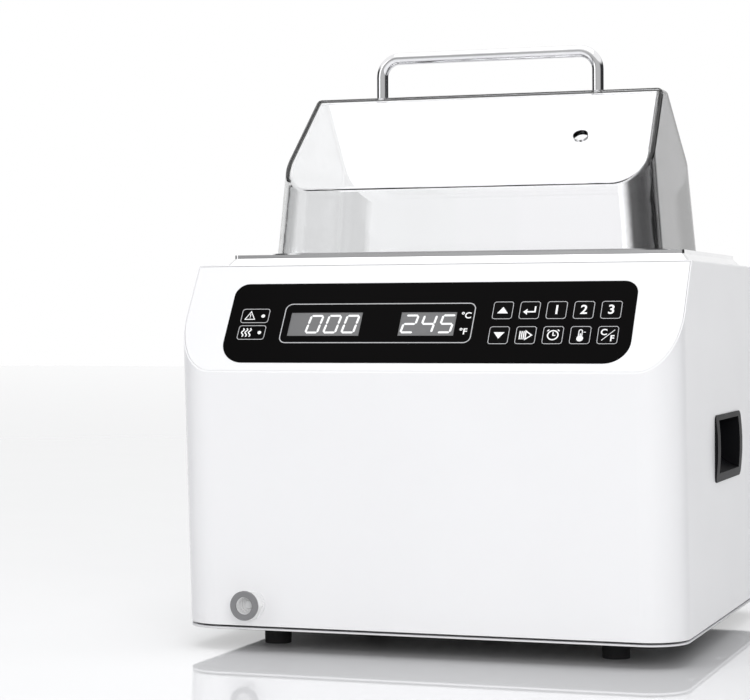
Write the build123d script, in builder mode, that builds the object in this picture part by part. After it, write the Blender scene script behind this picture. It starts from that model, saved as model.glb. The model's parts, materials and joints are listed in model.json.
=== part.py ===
"""Bench water bath with a clear gable lid. Millimetres, +Z up, front towards -Y.

The origin is on the bench, under the middle of the whole object.
"""
from build123d import *
import math
import os

os.makedirs("parts", exist_ok=True)

# Casing
case_width = 340.0
case_depth = 300.0
case_height = 239.3          # from the casing's lower edge to the deck
case_wall = 3.0
front_corner_radius = 27.0
rear_corner_radius = 20.0
front_lean = 3.6             # degrees that the front leans out towards the crease
crease_height = 167.7        # from the casing's lower edge to the crease
panel_angle = 57.0           # slope of the control face above the horizontal
deck_edge_radius = 1.5

# Feet, base plate and the dark seam under the casing
foot_height = 14.3
foot_radius = 9.4
foot_taper = 0.5
foot_inset_x = 52.7
foot_inset_y = 47.0
foot_bore_radius = 4.4
foot_bore_depth = 8.0
plate_thickness = 1.2
plate_reveal = 0.4
seam_gap = 1.5
screw_clearance = 0.2
plate_slot_columns = 8

# Control face
bezel_thickness = 3.0
bezel_lip = 0.8              # casing left standing round the bezel
bezel_gap = 0.25
ledge_width = 9.0
ledge_thickness = 2.5
overlay_width = 276.0
overlay_height = 62.1
overlay_top_margin = 15.7    # down the slope from the deck edge
overlay_top_radius = 9.5
overlay_bottom_radius = 16.5
overlay_thickness = 0.8
overlay_proud = 0.2
overlay_gap = 0.1
key_size = 13.4
key_corner_radius = 1.8
key_pitch_x = 17.8
key_pitch_y = 18.95
key_first_x = 51.4
key_top_row = 38.1           # down the slope from the deck edge
key_gap = 0.3
key_proud = 0.4
key_travel = 0.8
key_flange = 0.9
key_flange_thickness = 1.0
stem_radius = 1.8
time_window_width = 50.0
temperature_window_width = 37.8
window_height = 18.3
window_row = 47.8            # down the slope from the deck edge
time_window_x = -69.0
temperature_window_x = 1.8
window_gap = 0.1
window_sink = 0.3
module_margin = 2.0
light_x = -113.9
light_rows = (41.4, 54.4)
light_radius = 1.3
light_body_radius = 2.5
board_depth = 12.0           # from the control face back to the board
board_thickness = 1.6
board_width = 262.0
board_height = 52.0
board_boss_x = 124.0
board_boss_margin = 3.5
boss_radius = 3.2
switch_size = 6.2
switch_height = 3.6
plunger_radius = 1.7
plunger_height = 1.4

# Tank, rim and shelf
tank_centre_from_front = 160.0
tank_side_margin = 40.0      # from the casing's side to the tank's inside
tank_length = case_width - 2 * tank_side_margin
tank_width = 148.0           # inside, front to back
tank_depth = 145.0
tank_wall = 1.0
tank_corner_radius = 22.0
tank_floor_radius = 6.0
flange_thickness = 1.2
flange_margin = 4.0          # flange showing round the lid
rim_side_margin = 12.0
rim_length = case_width - 2 * rim_side_margin
rim_width = 183.0
rim_slope = 5.1
rim_lip = 2.5
rim_run = 4.6
rim_sheet = 1.5
rim_corner_radius = 3.0
deck_opening_inset = 11.0
tank_clearance = 1.0
shelf_end_gap = 8.0
shelf_side_gap = 6.5
shelf_length = tank_length - 2 * shelf_end_gap
shelf_width = tank_width - 2 * shelf_side_gap
shelf_sheet = 1.2
shelf_height = 22.0
shelf_corner_radius = 14.0
shelf_hole_radius = 5.5
shelf_pitch = 24.0
shelf_border = 12.0          # left without holes, both ends taken together
shelf_columns = int((shelf_length - shelf_border) / shelf_pitch)
shelf_rows = int((shelf_width - shelf_border) / shelf_pitch)
leg_width = 18.0
leg_from_end = 38.0
leg_spread = shelf_length / 2 - leg_from_end
element_radius = 3.3
element_height = 9.0
element_end_gap = 25.0
element_half_length = tank_length / 2 - element_end_gap
element_half_width = 50.0
element_return_inset = 2.0
element_exit_x = 35.0
element_bend = 14.0
element_tail = 16.0
gland_across_flats = 14.0
gland_thickness = 4.0
probe_radius = 2.0
probe_tip_radius = 1.2
probe_length = 52.0
probe_height = 12.0
probe_nut_across_flats = 8.0
fit_clearance = 0.1
running_clearance = 0.06
jacket_thickness = 12.0
jacket_gap = 0.5
thermostat_radius = 9.5
thermostat_height = 8.0
thermostat_step = 1.5
thermostat_x = 40.0
blade_width = 6.3
blade_thickness = 0.8
blade_length = 7.0

# Lid
lid_side_margin = 33.0       # from the casing's side to the lid
lid_length = case_width - 2 * lid_side_margin
lid_width = 166.0
lid_height = 113.0
lid_wall = 4.0
lid_corner_radius = 27.0
lid_end_draft = 4.9
lid_front_draft = 2.9
knee_height = 44.2
ridge_width = 19.0
roof_edge_radius = 4.5
roof_inner_radius = 1.5
thermometer_hole_radius = 5.25
thermometer_hole_from_end = 59.0
thermometer_hole_x = lid_length / 2 - thermometer_hole_from_end
thermometer_hole_height = 79.0
handle_rod_radius = 4.25
handle_end_margin = 57.5
handle_spacing = lid_length - 2 * handle_end_margin
handle_height = 32.6         # from the ridge to the top of the bar
handle_bend = 13.0
handle_screw_radius = 2.0
handle_screw_head_radius = 3.9
handle_screw_reach = 10.0
handle_screw_angle = 90.0

# Drain at the lower left of the front
drain_from_side = 51.5
drain_x = drain_from_side - case_width / 2
drain_height = 14.5          # from the casing's lower edge
drain_reach = 12.0           # from the casing's lower front edge to the ring's face
drain_bore_radius = 5.75
drain_tube_radius = 7.0
drain_ring_radius = 9.7
drain_ring_length = 2.0
drain_ring_lip = 1.4
drain_ring_rounding = 0.6
drain_pad_radius = 10.6
drain_pad_proud = 1.8
drain_nut_across_flats = 18.0
drain_collar_radius = 10.0
drain_collar_thickness = 3.0
drain_collar_gap = 1.0
socket_radius = 5.4
socket_end = 8.4             # depth from the ring's face
seat_radius = 4.9
valve_depth = 10.0
valve_thickness = 2.0
valve_cone_radius = 3.2
valve_cone_height = 1.4
valve_cone_taper = 30.0      # degrees
valve_wing_thickness = 1.2
valve_wing_reach = 4.0       # into the narrow bore, with the valve closed
chamber_radius = 5.8
barb_radius = 4.8
barb_bore_radius = 3.6
barb_length = 12.0
hose_bore_radius = 4.9
hose_radius = 7.0
hose_bend = 30.0
outlet_from_tank_front = 34.0
outlet_flange_radius = 9.0
outlet_flange_thickness = 2.0
clamp_thickness = 0.8
clamp_width = 6.0

# Side handles
cup_from_front = 156.5
cup_height = 114.7           # from the casing's lower edge to the middle of the cup
cup_length = 92.0
cup_width = 45.0
cup_lip_edge = 0.7
cup_lip_bow = 2.3
cup_depth = 22.0
cup_wall = 1.6
cup_opening_length = 76.0
cup_opening_width = 41.4
cup_scoop_out = 8.0          # from the casing's side out to the middle of the scoop's arc
cup_scoop_up = 11.0          # from the middle of the cup up to the middle of the scoop's arc
cup_corner_radius = 4.0
cup_gap = 0.2

# Rear panel, mains inlet and switch
panel_end_margin = 28.0
panel_length_rear = case_width - 2 * panel_end_margin
panel_height_rear = 168.0
panel_centre_height = 102.0  # from the casing's lower edge
panel_sheet = 1.5
panel_corner_radius = 8.0
panel_border = 9.0
panel_screw_margin = 4.5
slot_length = 44.0
slot_width = 3.2
slot_pitch = 8.0
slot_count = 9
slot_group_from_end = 80.0
slot_group_x = panel_length_rear / 2 - slot_group_from_end
slot_group_z = 36.0
inlet_from_end = 38.0
inlet_x = inlet_from_end - panel_length_rear / 2
inlet_z = -44.0              # from the middle of the rear panel
inlet_reach = 3.0
inlet_flange_length = 31.0
inlet_flange_height = 50.0
inlet_corner_radius = 3.0
inlet_body_length = 27.6
inlet_body_height = 45.0
inlet_body_depth = 21.0
inlet_socket_length = 24.4
inlet_socket_height = 16.6
inlet_socket_depth = 16.0
inlet_socket_rise = 11.0
pin_length = 13.0
pin_width = 4.0
pin_thickness = 2.0
pin_spacing = 14.0
pin_drop = 4.0
drawer_length = 22.0
drawer_height = 10.0
drawer_depth = 15.0
drawer_drop = 12.0
drawer_gap = 0.3
drawer_grip = 1.2
switch_from_end = 82.0
switch_x = switch_from_end - panel_length_rear / 2
switch_flange_length = 17.0
switch_flange_height = 25.0
switch_flange_thickness = 1.6
switch_corner_radius = 1.5
switch_body_length = 13.6
switch_body_height = 21.6
switch_body_depth = 16.0
rocker_length = 10.4
rocker_height = 17.0
rocker_tilt = 7.0
rocker_dish = 0.9
rocker_taper = 1.5
rocker_drop = 5.0
rocker_gap = 0.6
rocker_proud = 1.2
pivot_radius = 1.2
pivot_depth = 2.5
pivot_reach = 0.5

# Boards in the base
power_board_length = 120.0
power_board_width = 84.0
power_board_from_side = 104.0
power_board_x = power_board_from_side - case_width / 2
power_board_from_rear = 66.0
standoff_height = 10.0
standoff_radius = 3.0
standoff_margin = 5.0
heatsink_length = 50.0
heatsink_width = 26.0
heatsink_height = 30.0
heatsink_base = 4.0
heatsink_fin = 2.0
heatsink_fin_count = 6
heatsink_offset = (28.0, 20.0)      # each part's middle from the middle of the board
transformer_size = (38.0, 32.0, 30.0)
transformer_bobbin = 5.0
transformer_offset = (-34.0, 18.0)
relay_size = (28.0, 12.5, 15.0)
relay_edge_radius = 1.0
relay_offset = (28.0, -10.0)
terminal_length = 50.0
terminal_width = 14.0
terminal_height = 14.0
terminal_ways = 5
terminal_offset = (-22.0, -30.0)

# Fasteners
screw_radius = 1.5
screw_head_radius = 2.8
screw_head_height = 1.7
screw_length = 10.0
screw_tip_room = 1.5
boss_outer_radius = 5.0
boss_length = 30.0
boss_sink = 1.0              # into the casing's wall
boss_from_corner = 30.0
foot_screw_radius = 2.0
foot_screw_head_radius = 3.8
foot_screw_head_height = 2.6
foot_screw_engagement = 3.2
weld_nut_radius = 4.2

# Levels and places worked out from the sizes above
lean = math.radians(front_lean)
slope = math.radians(panel_angle)
plate_z = foot_height
plate_top_z = plate_z + plate_thickness
shell_z = plate_top_z + seam_gap
deck_z = shell_z + case_height
crease_z = shell_z + crease_height
front_y = -(case_depth + inlet_reach - drain_reach) / 2
rear_y = front_y + case_depth
crease_y = front_y - crease_height * math.tan(lean)
panel_length = (deck_z - crease_z) / math.sin(slope)
tank_y = front_y + tank_centre_from_front
rim_z = deck_z + rim_slope + rim_lip
lid_z = rim_z + flange_thickness
tank_floor_z = lid_z - tank_depth
tank_bottom_z = tank_floor_z - tank_wall
ridge_z = lid_z + lid_height
drain_z = shell_z + drain_height
drain_face_y = front_y - drain_reach
cup_y = front_y + cup_from_front
cup_z = shell_z + cup_height
panel_z = shell_z + panel_centre_height

control_face = Plane(
    origin=(0, crease_y, crease_z), x_dir=(1, 0, 0), z_dir=(0, -math.sin(slope), math.cos(slope))
)


def up_slope(distance_from_deck_edge):
    """Height on the control face of a place given by its distance down from the deck edge."""
    return panel_length - distance_from_deck_edge


def save(piece, name):
    """Label a finished piece and write it under its node's name."""
    piece.part.label = name
    export_step(piece.part, f"parts/{name}.step")


def casing_block(inset, bottom_z, face_inset):
    """The casing's outer form, drawn in by inset all round and by face_inset on the sloping face."""
    half = case_width / 2 - inset
    top_z = deck_z - inset

    def front_at(z):
        return front_y - math.tan(lean) * (z - shell_z) + inset / math.cos(lean)

    with BuildPart(mode=Mode.PRIVATE) as block:
        with BuildSketch(Plane.YZ.offset(-half)):
            with BuildLine():
                Polyline(
                    (front_at(bottom_z), bottom_z),
                    (rear_y - inset, bottom_z),
                    (rear_y - inset, top_z),
                    (front_at(top_z), top_z),
                    close=True,
                )
            make_face()
        extrude(amount=2 * half)
        uprights = block.edges().filter_by(lambda edge: abs(edge.tangent_at(0.5).Z) > 0.9).sort_by(Axis.Y)
        fillet(uprights[:2], front_corner_radius - inset)
        uprights = block.edges().filter_by(lambda edge: abs(edge.tangent_at(0.5).Z) > 0.99).sort_by(Axis.Y)
        fillet(uprights[-2:], rear_corner_radius - inset)
        split(bisect_by=control_face.offset(-face_inset), keep=Keep.BOTTOM)
    return block.part


def face_slab(inset, depth):
    """The layer of the casing's form that lies within depth under the sloping face."""
    with BuildPart(mode=Mode.PRIVATE) as slab:
        add(casing_block(inset, shell_z, 0))
        split(bisect_by=control_face.offset(-depth), keep=Keep.TOP)
    return slab.part


# Casing: one moulding, open below, with the bezel's seat, the tank opening and the side openings
base_boss_x = case_width / 2 - case_wall - boss_outer_radius + boss_sink
base_boss_front_y = front_y + front_corner_radius + boss_from_corner
base_boss_rear_y = rear_y - rear_corner_radius - boss_from_corner
base_boss_points = [
    (side * base_boss_x, y)
    for side in (-1, 1)
    for y in (base_boss_front_y, (base_boss_front_y + base_boss_rear_y) / 2, base_boss_rear_y)
]
panel_screw_x = panel_length_rear / 2 - panel_screw_margin
panel_screw_z = panel_height_rear / 2 - panel_screw_margin
panel_screw_points = [(x, z) for x in (-panel_screw_x, 0, panel_screw_x) for z in (-panel_screw_z, panel_screw_z)]
rear_face = Plane(origin=(0, rear_y, panel_z), x_dir=(-1, 0, 0), z_dir=(0, 1, 0))
drain_plane = Plane(origin=(drain_x, front_y, drain_z), x_dir=(1, 0, 0), z_dir=(0, -1, 0))

with BuildPart() as casing:
    add(casing_block(0, shell_z, 0))
    deck_edges = casing.faces().sort_by(Axis.Z)[-1].edges()
    fillet(deck_edges, deck_edge_radius)
    with BuildSketch(drain_plane.offset(drain_pad_proud)):
        Circle(drain_pad_radius)
    extrude(amount=-case_wall)
    add(casing_block(case_wall, shell_z - case_wall, bezel_thickness + ledge_thickness), mode=Mode.SUBTRACT)
    add(face_slab(bezel_lip, bezel_thickness), mode=Mode.SUBTRACT)
    add(face_slab(bezel_lip + ledge_width, bezel_thickness + 2 * ledge_thickness), mode=Mode.SUBTRACT)
    with BuildSketch(Plane.XY.offset(plate_top_z)):
        with Locations(*base_boss_points):
            Circle(boss_outer_radius)
    extrude(amount=boss_length)
    with BuildSketch(Plane.XY.offset(plate_top_z)):
        with Locations(*base_boss_points):
            Circle(screw_radius + screw_clearance)
    extrude(amount=screw_length + screw_tip_room, mode=Mode.SUBTRACT)
    with BuildSketch(Plane.XY.offset(deck_z)):
        with Locations((0, tank_y)):
            RectangleRounded(
                rim_length + 2 * rim_run - 2 * deck_opening_inset,
                rim_width + 2 * rim_run - 2 * deck_opening_inset,
                tank_corner_radius,
            )
    extrude(amount=-2 * case_wall, mode=Mode.SUBTRACT)
    with BuildSketch(Plane.YZ.offset(-case_width / 2)):
        with Locations((cup_y, cup_z)):
            Rectangle(cup_opening_length, cup_opening_width)
    extrude(amount=case_width, mode=Mode.SUBTRACT)
    with BuildSketch(rear_face):
        RectangleRounded(
            panel_length_rear + 2 * bezel_gap, panel_height_rear + 2 * bezel_gap, panel_corner_radius
        )
    extrude(amount=-panel_sheet, mode=Mode.SUBTRACT)
    with BuildSketch(rear_face):
        RectangleRounded(
            panel_length_rear - 2 * panel_border, panel_height_rear - 2 * panel_border, panel_corner_radius
        )
    extrude(amount=-2 * case_wall, mode=Mode.SUBTRACT)
    with BuildSketch(rear_face):
        with Locations(*panel_screw_points):
            Circle(screw_radius + screw_clearance)
    extrude(amount=-2 * case_wall, mode=Mode.SUBTRACT)
    with BuildSketch(drain_plane.offset(drain_pad_proud)):
        Circle(drain_tube_radius + fit_clearance)
    extrude(amount=-3 * case_wall, mode=Mode.SUBTRACT)
save(casing, "casing")

# Control bezel: let into the sloping face, with openings for windows, keys and lights
key_points = [
    (key_first_x + column * key_pitch_x, up_slope(key_top_row + row * key_pitch_y))
    for row in range(2)
    for column in range(5)
]
window_y = up_slope(window_row)
light_points = [(light_x, up_slope(row)) for row in light_rows]
board_y = up_slope(overlay_top_margin) - overlay_height / 2
board_boss_points = [
    (x, board_y + side * (board_height / 2 - board_boss_margin))
    for x in (-board_boss_x, 0, board_boss_x)
    for side in (-1, 1)
]
overlay_y = up_slope(overlay_top_margin) - overlay_height / 2
recess_depth = overlay_thickness - overlay_proud


def control_openings(extra):
    """The outlines of the key, window and light openings, widened by extra."""
    with Locations(*key_points):
        RectangleRounded(key_size + 2 * extra, key_size + 2 * extra, key_corner_radius)
    with Locations((time_window_x, window_y)):
        Rectangle(time_window_width + 2 * window_gap, window_height + 2 * window_gap)
    with Locations((temperature_window_x, window_y)):
        Rectangle(temperature_window_width + 2 * window_gap, window_height + 2 * window_gap)
    with Locations(*light_points):
        Circle(light_radius + fit_clearance)


def overlay_outline(extra):
    """The overlay's outline, with its larger radius on the lower corners, widened by extra."""
    with BuildSketch(mode=Mode.PRIVATE) as outline:
        with Locations((0, overlay_y)):
            Rectangle(overlay_width + 2 * extra, overlay_height + 2 * extra)
        corners = outline.vertices().sort_by(Axis.Y)
        fillet(corners[:2], overlay_bottom_radius + extra)
        corners = outline.vertices().group_by(Axis.Y)[-1]
        fillet(corners, overlay_top_radius + extra)
    return outline.sketch


with BuildPart() as control_bezel:
    add(face_slab(bezel_lip + bezel_gap, bezel_thickness))
    with BuildSketch(control_face):
        add(overlay_outline(overlay_gap))
    extrude(amount=-recess_depth, mode=Mode.SUBTRACT)
    with BuildSketch(control_face.offset(-bezel_thickness)):
        with Locations(*board_boss_points):
            Circle(boss_radius)
    extrude(amount=-(board_depth - bezel_thickness))
    with BuildSketch(control_face):
        control_openings(key_gap)
    extrude(amount=-2 * bezel_thickness, mode=Mode.SUBTRACT)
    with BuildSketch(control_face.offset(-board_depth)):
        with Locations(*board_boss_points):
            Circle(screw_radius)
    extrude(amount=board_depth - bezel_thickness, mode=Mode.SUBTRACT)
save(control_bezel, "control_bezel")

with BuildPart() as control_overlay:
    with BuildSketch(control_face.offset(-recess_depth)):
        add(overlay_outline(0))
        with BuildSketch(mode=Mode.PRIVATE) as openings:
            control_openings(key_gap)
        add(openings.sketch, mode=Mode.SUBTRACT)
    extrude(amount=overlay_thickness)
save(control_overlay, "control_overlay")

# Display modules: a window that fills its opening, on a wider body that stands on the board
for module_name, module_x, window_width in (
    ("time_display", time_window_x, time_window_width),
    ("temperature_display", temperature_window_x, temperature_window_width),
):
    with BuildPart() as module:
        with BuildSketch(control_face.offset(-board_depth)):
            with Locations((module_x, window_y)):
                Rectangle(window_width + 2 * module_margin, window_height + 2 * module_margin)
        extrude(amount=board_depth - bezel_thickness - fit_clearance)
        with BuildSketch(control_face.offset(-bezel_thickness - fit_clearance)):
            with Locations((module_x, window_y)):
                Rectangle(window_width, window_height)
        extrude(amount=bezel_thickness + fit_clearance - window_sink)
    save(module, module_name)

# Indicator lights: a lens flush with the overlay on a body that stands on the board
for light_name, light_point in zip(("alarm_light", "heating_light"), light_points):
    with BuildPart() as light:
        with BuildSketch(control_face.offset(-board_depth)):
            with Locations(light_point):
                Circle(light_body_radius)
        extrude(amount=board_depth - bezel_thickness - fit_clearance)
        with BuildSketch(control_face.offset(-bezel_thickness - fit_clearance)):
            with Locations(light_point):
                Circle(light_radius)
        extrude(amount=bezel_thickness + fit_clearance + overlay_proud)
    save(light, light_name)

# Keys: a cap in the overlay, a flange that holds it behind the bezel and a stem over its switch
key_names = (
    "key_up", "key_enter", "key_program_1", "key_program_2", "key_program_3",
    "key_down", "key_run", "key_timer", "key_temperature", "key_units",
)
plunger_top = -(board_depth - switch_height - plunger_height)
key_flange_top = -(bezel_thickness + key_gap)
for key_name, key_point in zip(key_names, key_points):
    with BuildPart() as key:
        with BuildSketch(control_face.offset(key_flange_top)):
            with Locations(key_point):
                RectangleRounded(key_size, key_size, key_corner_radius)
        extrude(amount=overlay_proud + key_proud - key_flange_top)
        with BuildSketch(control_face.offset(key_flange_top)):
            with Locations(key_point):
                Rectangle(key_size + 2 * key_flange, key_size + 2 * key_flange)
        extrude(amount=-key_flange_thickness)
        stem_top = key_flange_top - key_flange_thickness
        with BuildSketch(control_face.offset(stem_top)):
            with Locations(key_point):
                Circle(stem_radius)
        extrude(amount=-(stem_top - plunger_top - key_travel - key_gap))
    save(key, key_name)

with BuildPart() as key_switches:
    with BuildSketch(control_face.offset(-board_depth)):
        with Locations(*key_points):
            Rectangle(switch_size, switch_size)
    extrude(amount=switch_height)
    with BuildSketch(control_face.offset(-board_depth + switch_height)):
        with Locations(*key_points):
            Circle(plunger_radius)
    extrude(amount=plunger_height)
save(key_switches, "key_switches")

with BuildPart() as display_board:
    with BuildSketch(control_face.offset(-board_depth - board_thickness)):
        with Locations((0, board_y)):
            Rectangle(board_width, board_height)
        with Locations(*board_boss_points):
            Circle(screw_radius + screw_clearance, mode=Mode.SUBTRACT)
    extrude(amount=board_thickness)
save(display_board, "display_board")

with BuildPart() as display_board_screws:
    with BuildSketch(control_face.offset(-board_depth - board_thickness)):
        with Locations(*board_boss_points):
            Circle(screw_head_radius)
    extrude(amount=-screw_head_height)
    with BuildSketch(control_face.offset(-board_depth - board_thickness)):
        with Locations(*board_boss_points):
            Circle(screw_radius - fit_clearance)
    extrude(amount=board_thickness + (board_depth - bezel_thickness) / 2)
save(display_board_screws, "display_board_screws")


# Tank rim: a pressed frame with a 45 degree edge under an upright lip
def rim_form(inset, top_z):
    """The rim's form, drawn in by inset and stopped at top_z."""
    with BuildPart(mode=Mode.PRIVATE) as form:
        with BuildSketch(Plane.XY.offset(deck_z)):
            with Locations((0, tank_y)):
                RectangleRounded(
                    rim_length + 2 * rim_run - 2 * inset, rim_width + 2 * rim_run - 2 * inset, rim_corner_radius
                )
        with BuildSketch(Plane.XY.offset(deck_z + rim_slope)) as lip_outline:
            with Locations((0, tank_y)):
                RectangleRounded(rim_length - 2 * inset, rim_width - 2 * inset, rim_corner_radius)
        loft()
        extrude(to_extrude=lip_outline.sketch, amount=top_z - deck_z - rim_slope)
    return form.part


tank_outer_length = tank_length + 2 * tank_wall
tank_outer_width = tank_width + 2 * tank_wall
tank_outer_radius = tank_corner_radius + tank_wall
with BuildPart() as rim_frame:
    add(rim_form(0, rim_z))
    add(rim_form(rim_sheet, rim_z - rim_sheet), mode=Mode.SUBTRACT)
    with BuildSketch(Plane.XY.offset(rim_z)):
        with Locations((0, tank_y)):
            RectangleRounded(
                tank_outer_length + 2 * tank_clearance,
                tank_outer_width + 2 * tank_clearance,
                tank_outer_radius + tank_clearance,
            )
    extrude(amount=-2 * rim_sheet, mode=Mode.SUBTRACT)
save(rim_frame, "rim_frame")

# Tank: a deep-drawn vessel whose flange lies on the rim
outlet_point = (drain_x, tank_y - tank_width / 2 + outlet_from_tank_front)
tank_rear_y = tank_y + tank_width / 2
tank_rear_plane = Plane(origin=(0, tank_rear_y, tank_floor_z), x_dir=(-1, 0, 0), z_dir=(0, 1, 0))
element_points = [(-element_exit_x, element_height), (element_exit_x, element_height)]
with BuildPart() as tank:
    with BuildSketch(Plane.XY.offset(tank_bottom_z)):
        with Locations((0, tank_y)):
            RectangleRounded(tank_outer_length, tank_outer_width, tank_outer_radius)
    extrude(amount=lid_z - tank_bottom_z)
    fillet(tank.faces().sort_by(Axis.Z)[0].edges(), tank_floor_radius + tank_wall)
    with BuildSketch(Plane.XY.offset(rim_z)):
        with Locations((0, tank_y)):
            RectangleRounded(
                lid_length + 2 * flange_margin, lid_width + 2 * flange_margin, lid_corner_radius + flange_margin
            )
    extrude(amount=flange_thickness)
    with BuildPart(mode=Mode.SUBTRACT) as cavity:
        with BuildSketch(Plane.XY.offset(tank_floor_z)):
            with Locations((0, tank_y)):
                RectangleRounded(tank_length, tank_width, tank_corner_radius)
        extrude(amount=tank_depth + flange_thickness)
        fillet(cavity.faces().sort_by(Axis.Z)[0].edges(), tank_floor_radius)
    with BuildSketch(Plane.XY.offset(tank_bottom_z)):
        with Locations(outlet_point):
            Circle(barb_bore_radius)
    extrude(amount=2 * tank_wall, mode=Mode.SUBTRACT)
    with BuildSketch(tank_rear_plane):
        with Locations(*element_points):
            Circle(element_radius + fit_clearance)
        with Locations((0, probe_height)):
            Circle(probe_radius + fit_clearance)
    extrude(amount=2 * tank_wall, mode=Mode.SUBTRACT)
save(tank, "tank")

with BuildPart() as heating_element:
    side_run = tank_y + element_half_width - element_return_inset
    front_run = tank_y - element_half_width
    tail_y = tank_rear_y + tank_wall + element_tail
    with BuildLine() as element_path:
        FilletPolyline(
            (-element_exit_x, tail_y, tank_floor_z + element_height),
            (-element_exit_x, side_run, tank_floor_z + element_height),
            (-element_half_length, side_run, tank_floor_z + element_height),
            (-element_half_length, front_run, tank_floor_z + element_height),
            (element_half_length, front_run, tank_floor_z + element_height),
            (element_half_length, side_run, tank_floor_z + element_height),
            (element_exit_x, side_run, tank_floor_z + element_height),
            (element_exit_x, tail_y, tank_floor_z + element_height),
            radius=element_bend,
        )
    with BuildSketch(Plane(origin=element_path.line @ 0, z_dir=element_path.line % 0)):
        Circle(element_radius)
    sweep()
save(heating_element, "heating_element")

with BuildPart() as heater_glands:
    with BuildSketch(tank_rear_plane.offset(tank_wall)):
        with Locations(*element_points):
            RegularPolygon(gland_across_flats / 2, 6, major_radius=False)
        with Locations(*element_points):
            Circle(element_radius + fit_clearance, mode=Mode.SUBTRACT)
    extrude(amount=gland_thickness)
save(heater_glands, "heater_glands")

with BuildPart() as temperature_probe:
    with BuildSketch(tank_rear_plane.offset(-probe_length)):
        with Locations((0, probe_height)):
            Circle(probe_radius)
    extrude(amount=probe_length + tank_wall + element_tail)
    fillet(temperature_probe.edges().group_by(Axis.Y)[0], probe_tip_radius)
save(temperature_probe, "temperature_probe")

with BuildPart() as probe_gland:
    with BuildSketch(tank_rear_plane.offset(tank_wall)):
        with Locations((0, probe_height)):
            RegularPolygon(probe_nut_across_flats / 2, 6, major_radius=False)
            Circle(probe_radius + fit_clearance, mode=Mode.SUBTRACT)
    extrude(amount=gland_thickness)
save(probe_gland, "probe_gland")

with BuildPart() as safety_thermostat:
    thermostat_plane = Plane(origin=(thermostat_x, tank_y, tank_bottom_z), x_dir=(1, 0, 0), z_dir=(0, 0, -1))
    with BuildSketch(thermostat_plane):
        Circle(thermostat_radius)
    extrude(amount=thermostat_height / 2)
    with BuildSketch(thermostat_plane.offset(thermostat_height / 2)):
        Circle(thermostat_radius - thermostat_step)
    extrude(amount=thermostat_height / 2)
    with BuildSketch(thermostat_plane.offset(thermostat_height)):
        with GridLocations(thermostat_radius, 0, 2, 1):
            Rectangle(blade_thickness, blade_width)
    extrude(amount=blade_length)
save(safety_thermostat, "safety_thermostat")

# Insulation jacket: open at the top, with windows for the fittings
jacket_inner_length = tank_outer_length + 2 * jacket_gap
jacket_inner_width = tank_outer_width + 2 * jacket_gap
jacket_top_z = deck_z - case_wall - jacket_gap
with BuildPart() as insulation_jacket:
    with BuildSketch(Plane.XY.offset(tank_bottom_z - jacket_gap - jacket_thickness)):
        with Locations((0, tank_y)):
            RectangleRounded(
                jacket_inner_length + 2 * jacket_thickness,
                jacket_inner_width + 2 * jacket_thickness,
                tank_outer_radius + jacket_thickness,
            )
    extrude(amount=jacket_top_z - tank_bottom_z + jacket_gap + jacket_thickness)
    with BuildSketch(Plane.XY.offset(tank_bottom_z - jacket_gap)):
        with Locations((0, tank_y)):
            RectangleRounded(jacket_inner_length, jacket_inner_width, tank_outer_radius + jacket_gap)
    extrude(amount=jacket_top_z - tank_bottom_z + jacket_gap, mode=Mode.SUBTRACT)
    with BuildSketch(tank_rear_plane):
        with Locations((0, element_height)):
            Rectangle(2 * (element_exit_x + gland_across_flats), 2 * gland_across_flats)
    extrude(amount=3 * jacket_thickness, mode=Mode.SUBTRACT)
    with BuildSketch(Plane.XY.offset(tank_bottom_z)):
        with Locations(outlet_point):
            Circle(outlet_flange_radius + jacket_gap)
        with Locations((thermostat_x, tank_y)):
            Circle(thermostat_radius + jacket_gap)
    extrude(amount=-3 * jacket_thickness, mode=Mode.SUBTRACT)
save(insulation_jacket, "insulation_jacket")

# Shelf: a perforated plate on four folded legs, which lifts out of the tank
with BuildPart() as shelf:
    with BuildSketch(Plane.XY.offset(tank_floor_z + shelf_height - shelf_sheet)):
        with Locations((0, tank_y)):
            RectangleRounded(shelf_length, shelf_width, shelf_corner_radius)
            with GridLocations(shelf_pitch, shelf_pitch, shelf_columns, shelf_rows):
                Circle(shelf_hole_radius, mode=Mode.SUBTRACT)
    extrude(amount=shelf_sheet)
    with BuildSketch(Plane.XY.offset(tank_floor_z)):
        with Locations((0, tank_y)):
            with GridLocations(2 * leg_spread, shelf_width - shelf_sheet, 2, 2):
                Rectangle(leg_width, shelf_sheet)
    extrude(amount=shelf_height - shelf_sheet)
save(shelf, "shelf")

# Drain: outlet under the tank, hose, spout through the casing, ring and spring-closed valve
with BuildPart() as tank_outlet:
    outlet_plane = Plane(origin=(*outlet_point, tank_bottom_z), x_dir=(1, 0, 0), z_dir=(0, 0, -1))
    with BuildSketch(outlet_plane):
        Circle(outlet_flange_radius)
        Circle(barb_bore_radius, mode=Mode.SUBTRACT)
    extrude(amount=outlet_flange_thickness)
    with BuildSketch(outlet_plane.offset(outlet_flange_thickness)):
        Circle(barb_radius)
        Circle(barb_bore_radius, mode=Mode.SUBTRACT)
    extrude(amount=barb_length)
save(tank_outlet, "tank_outlet")

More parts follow.
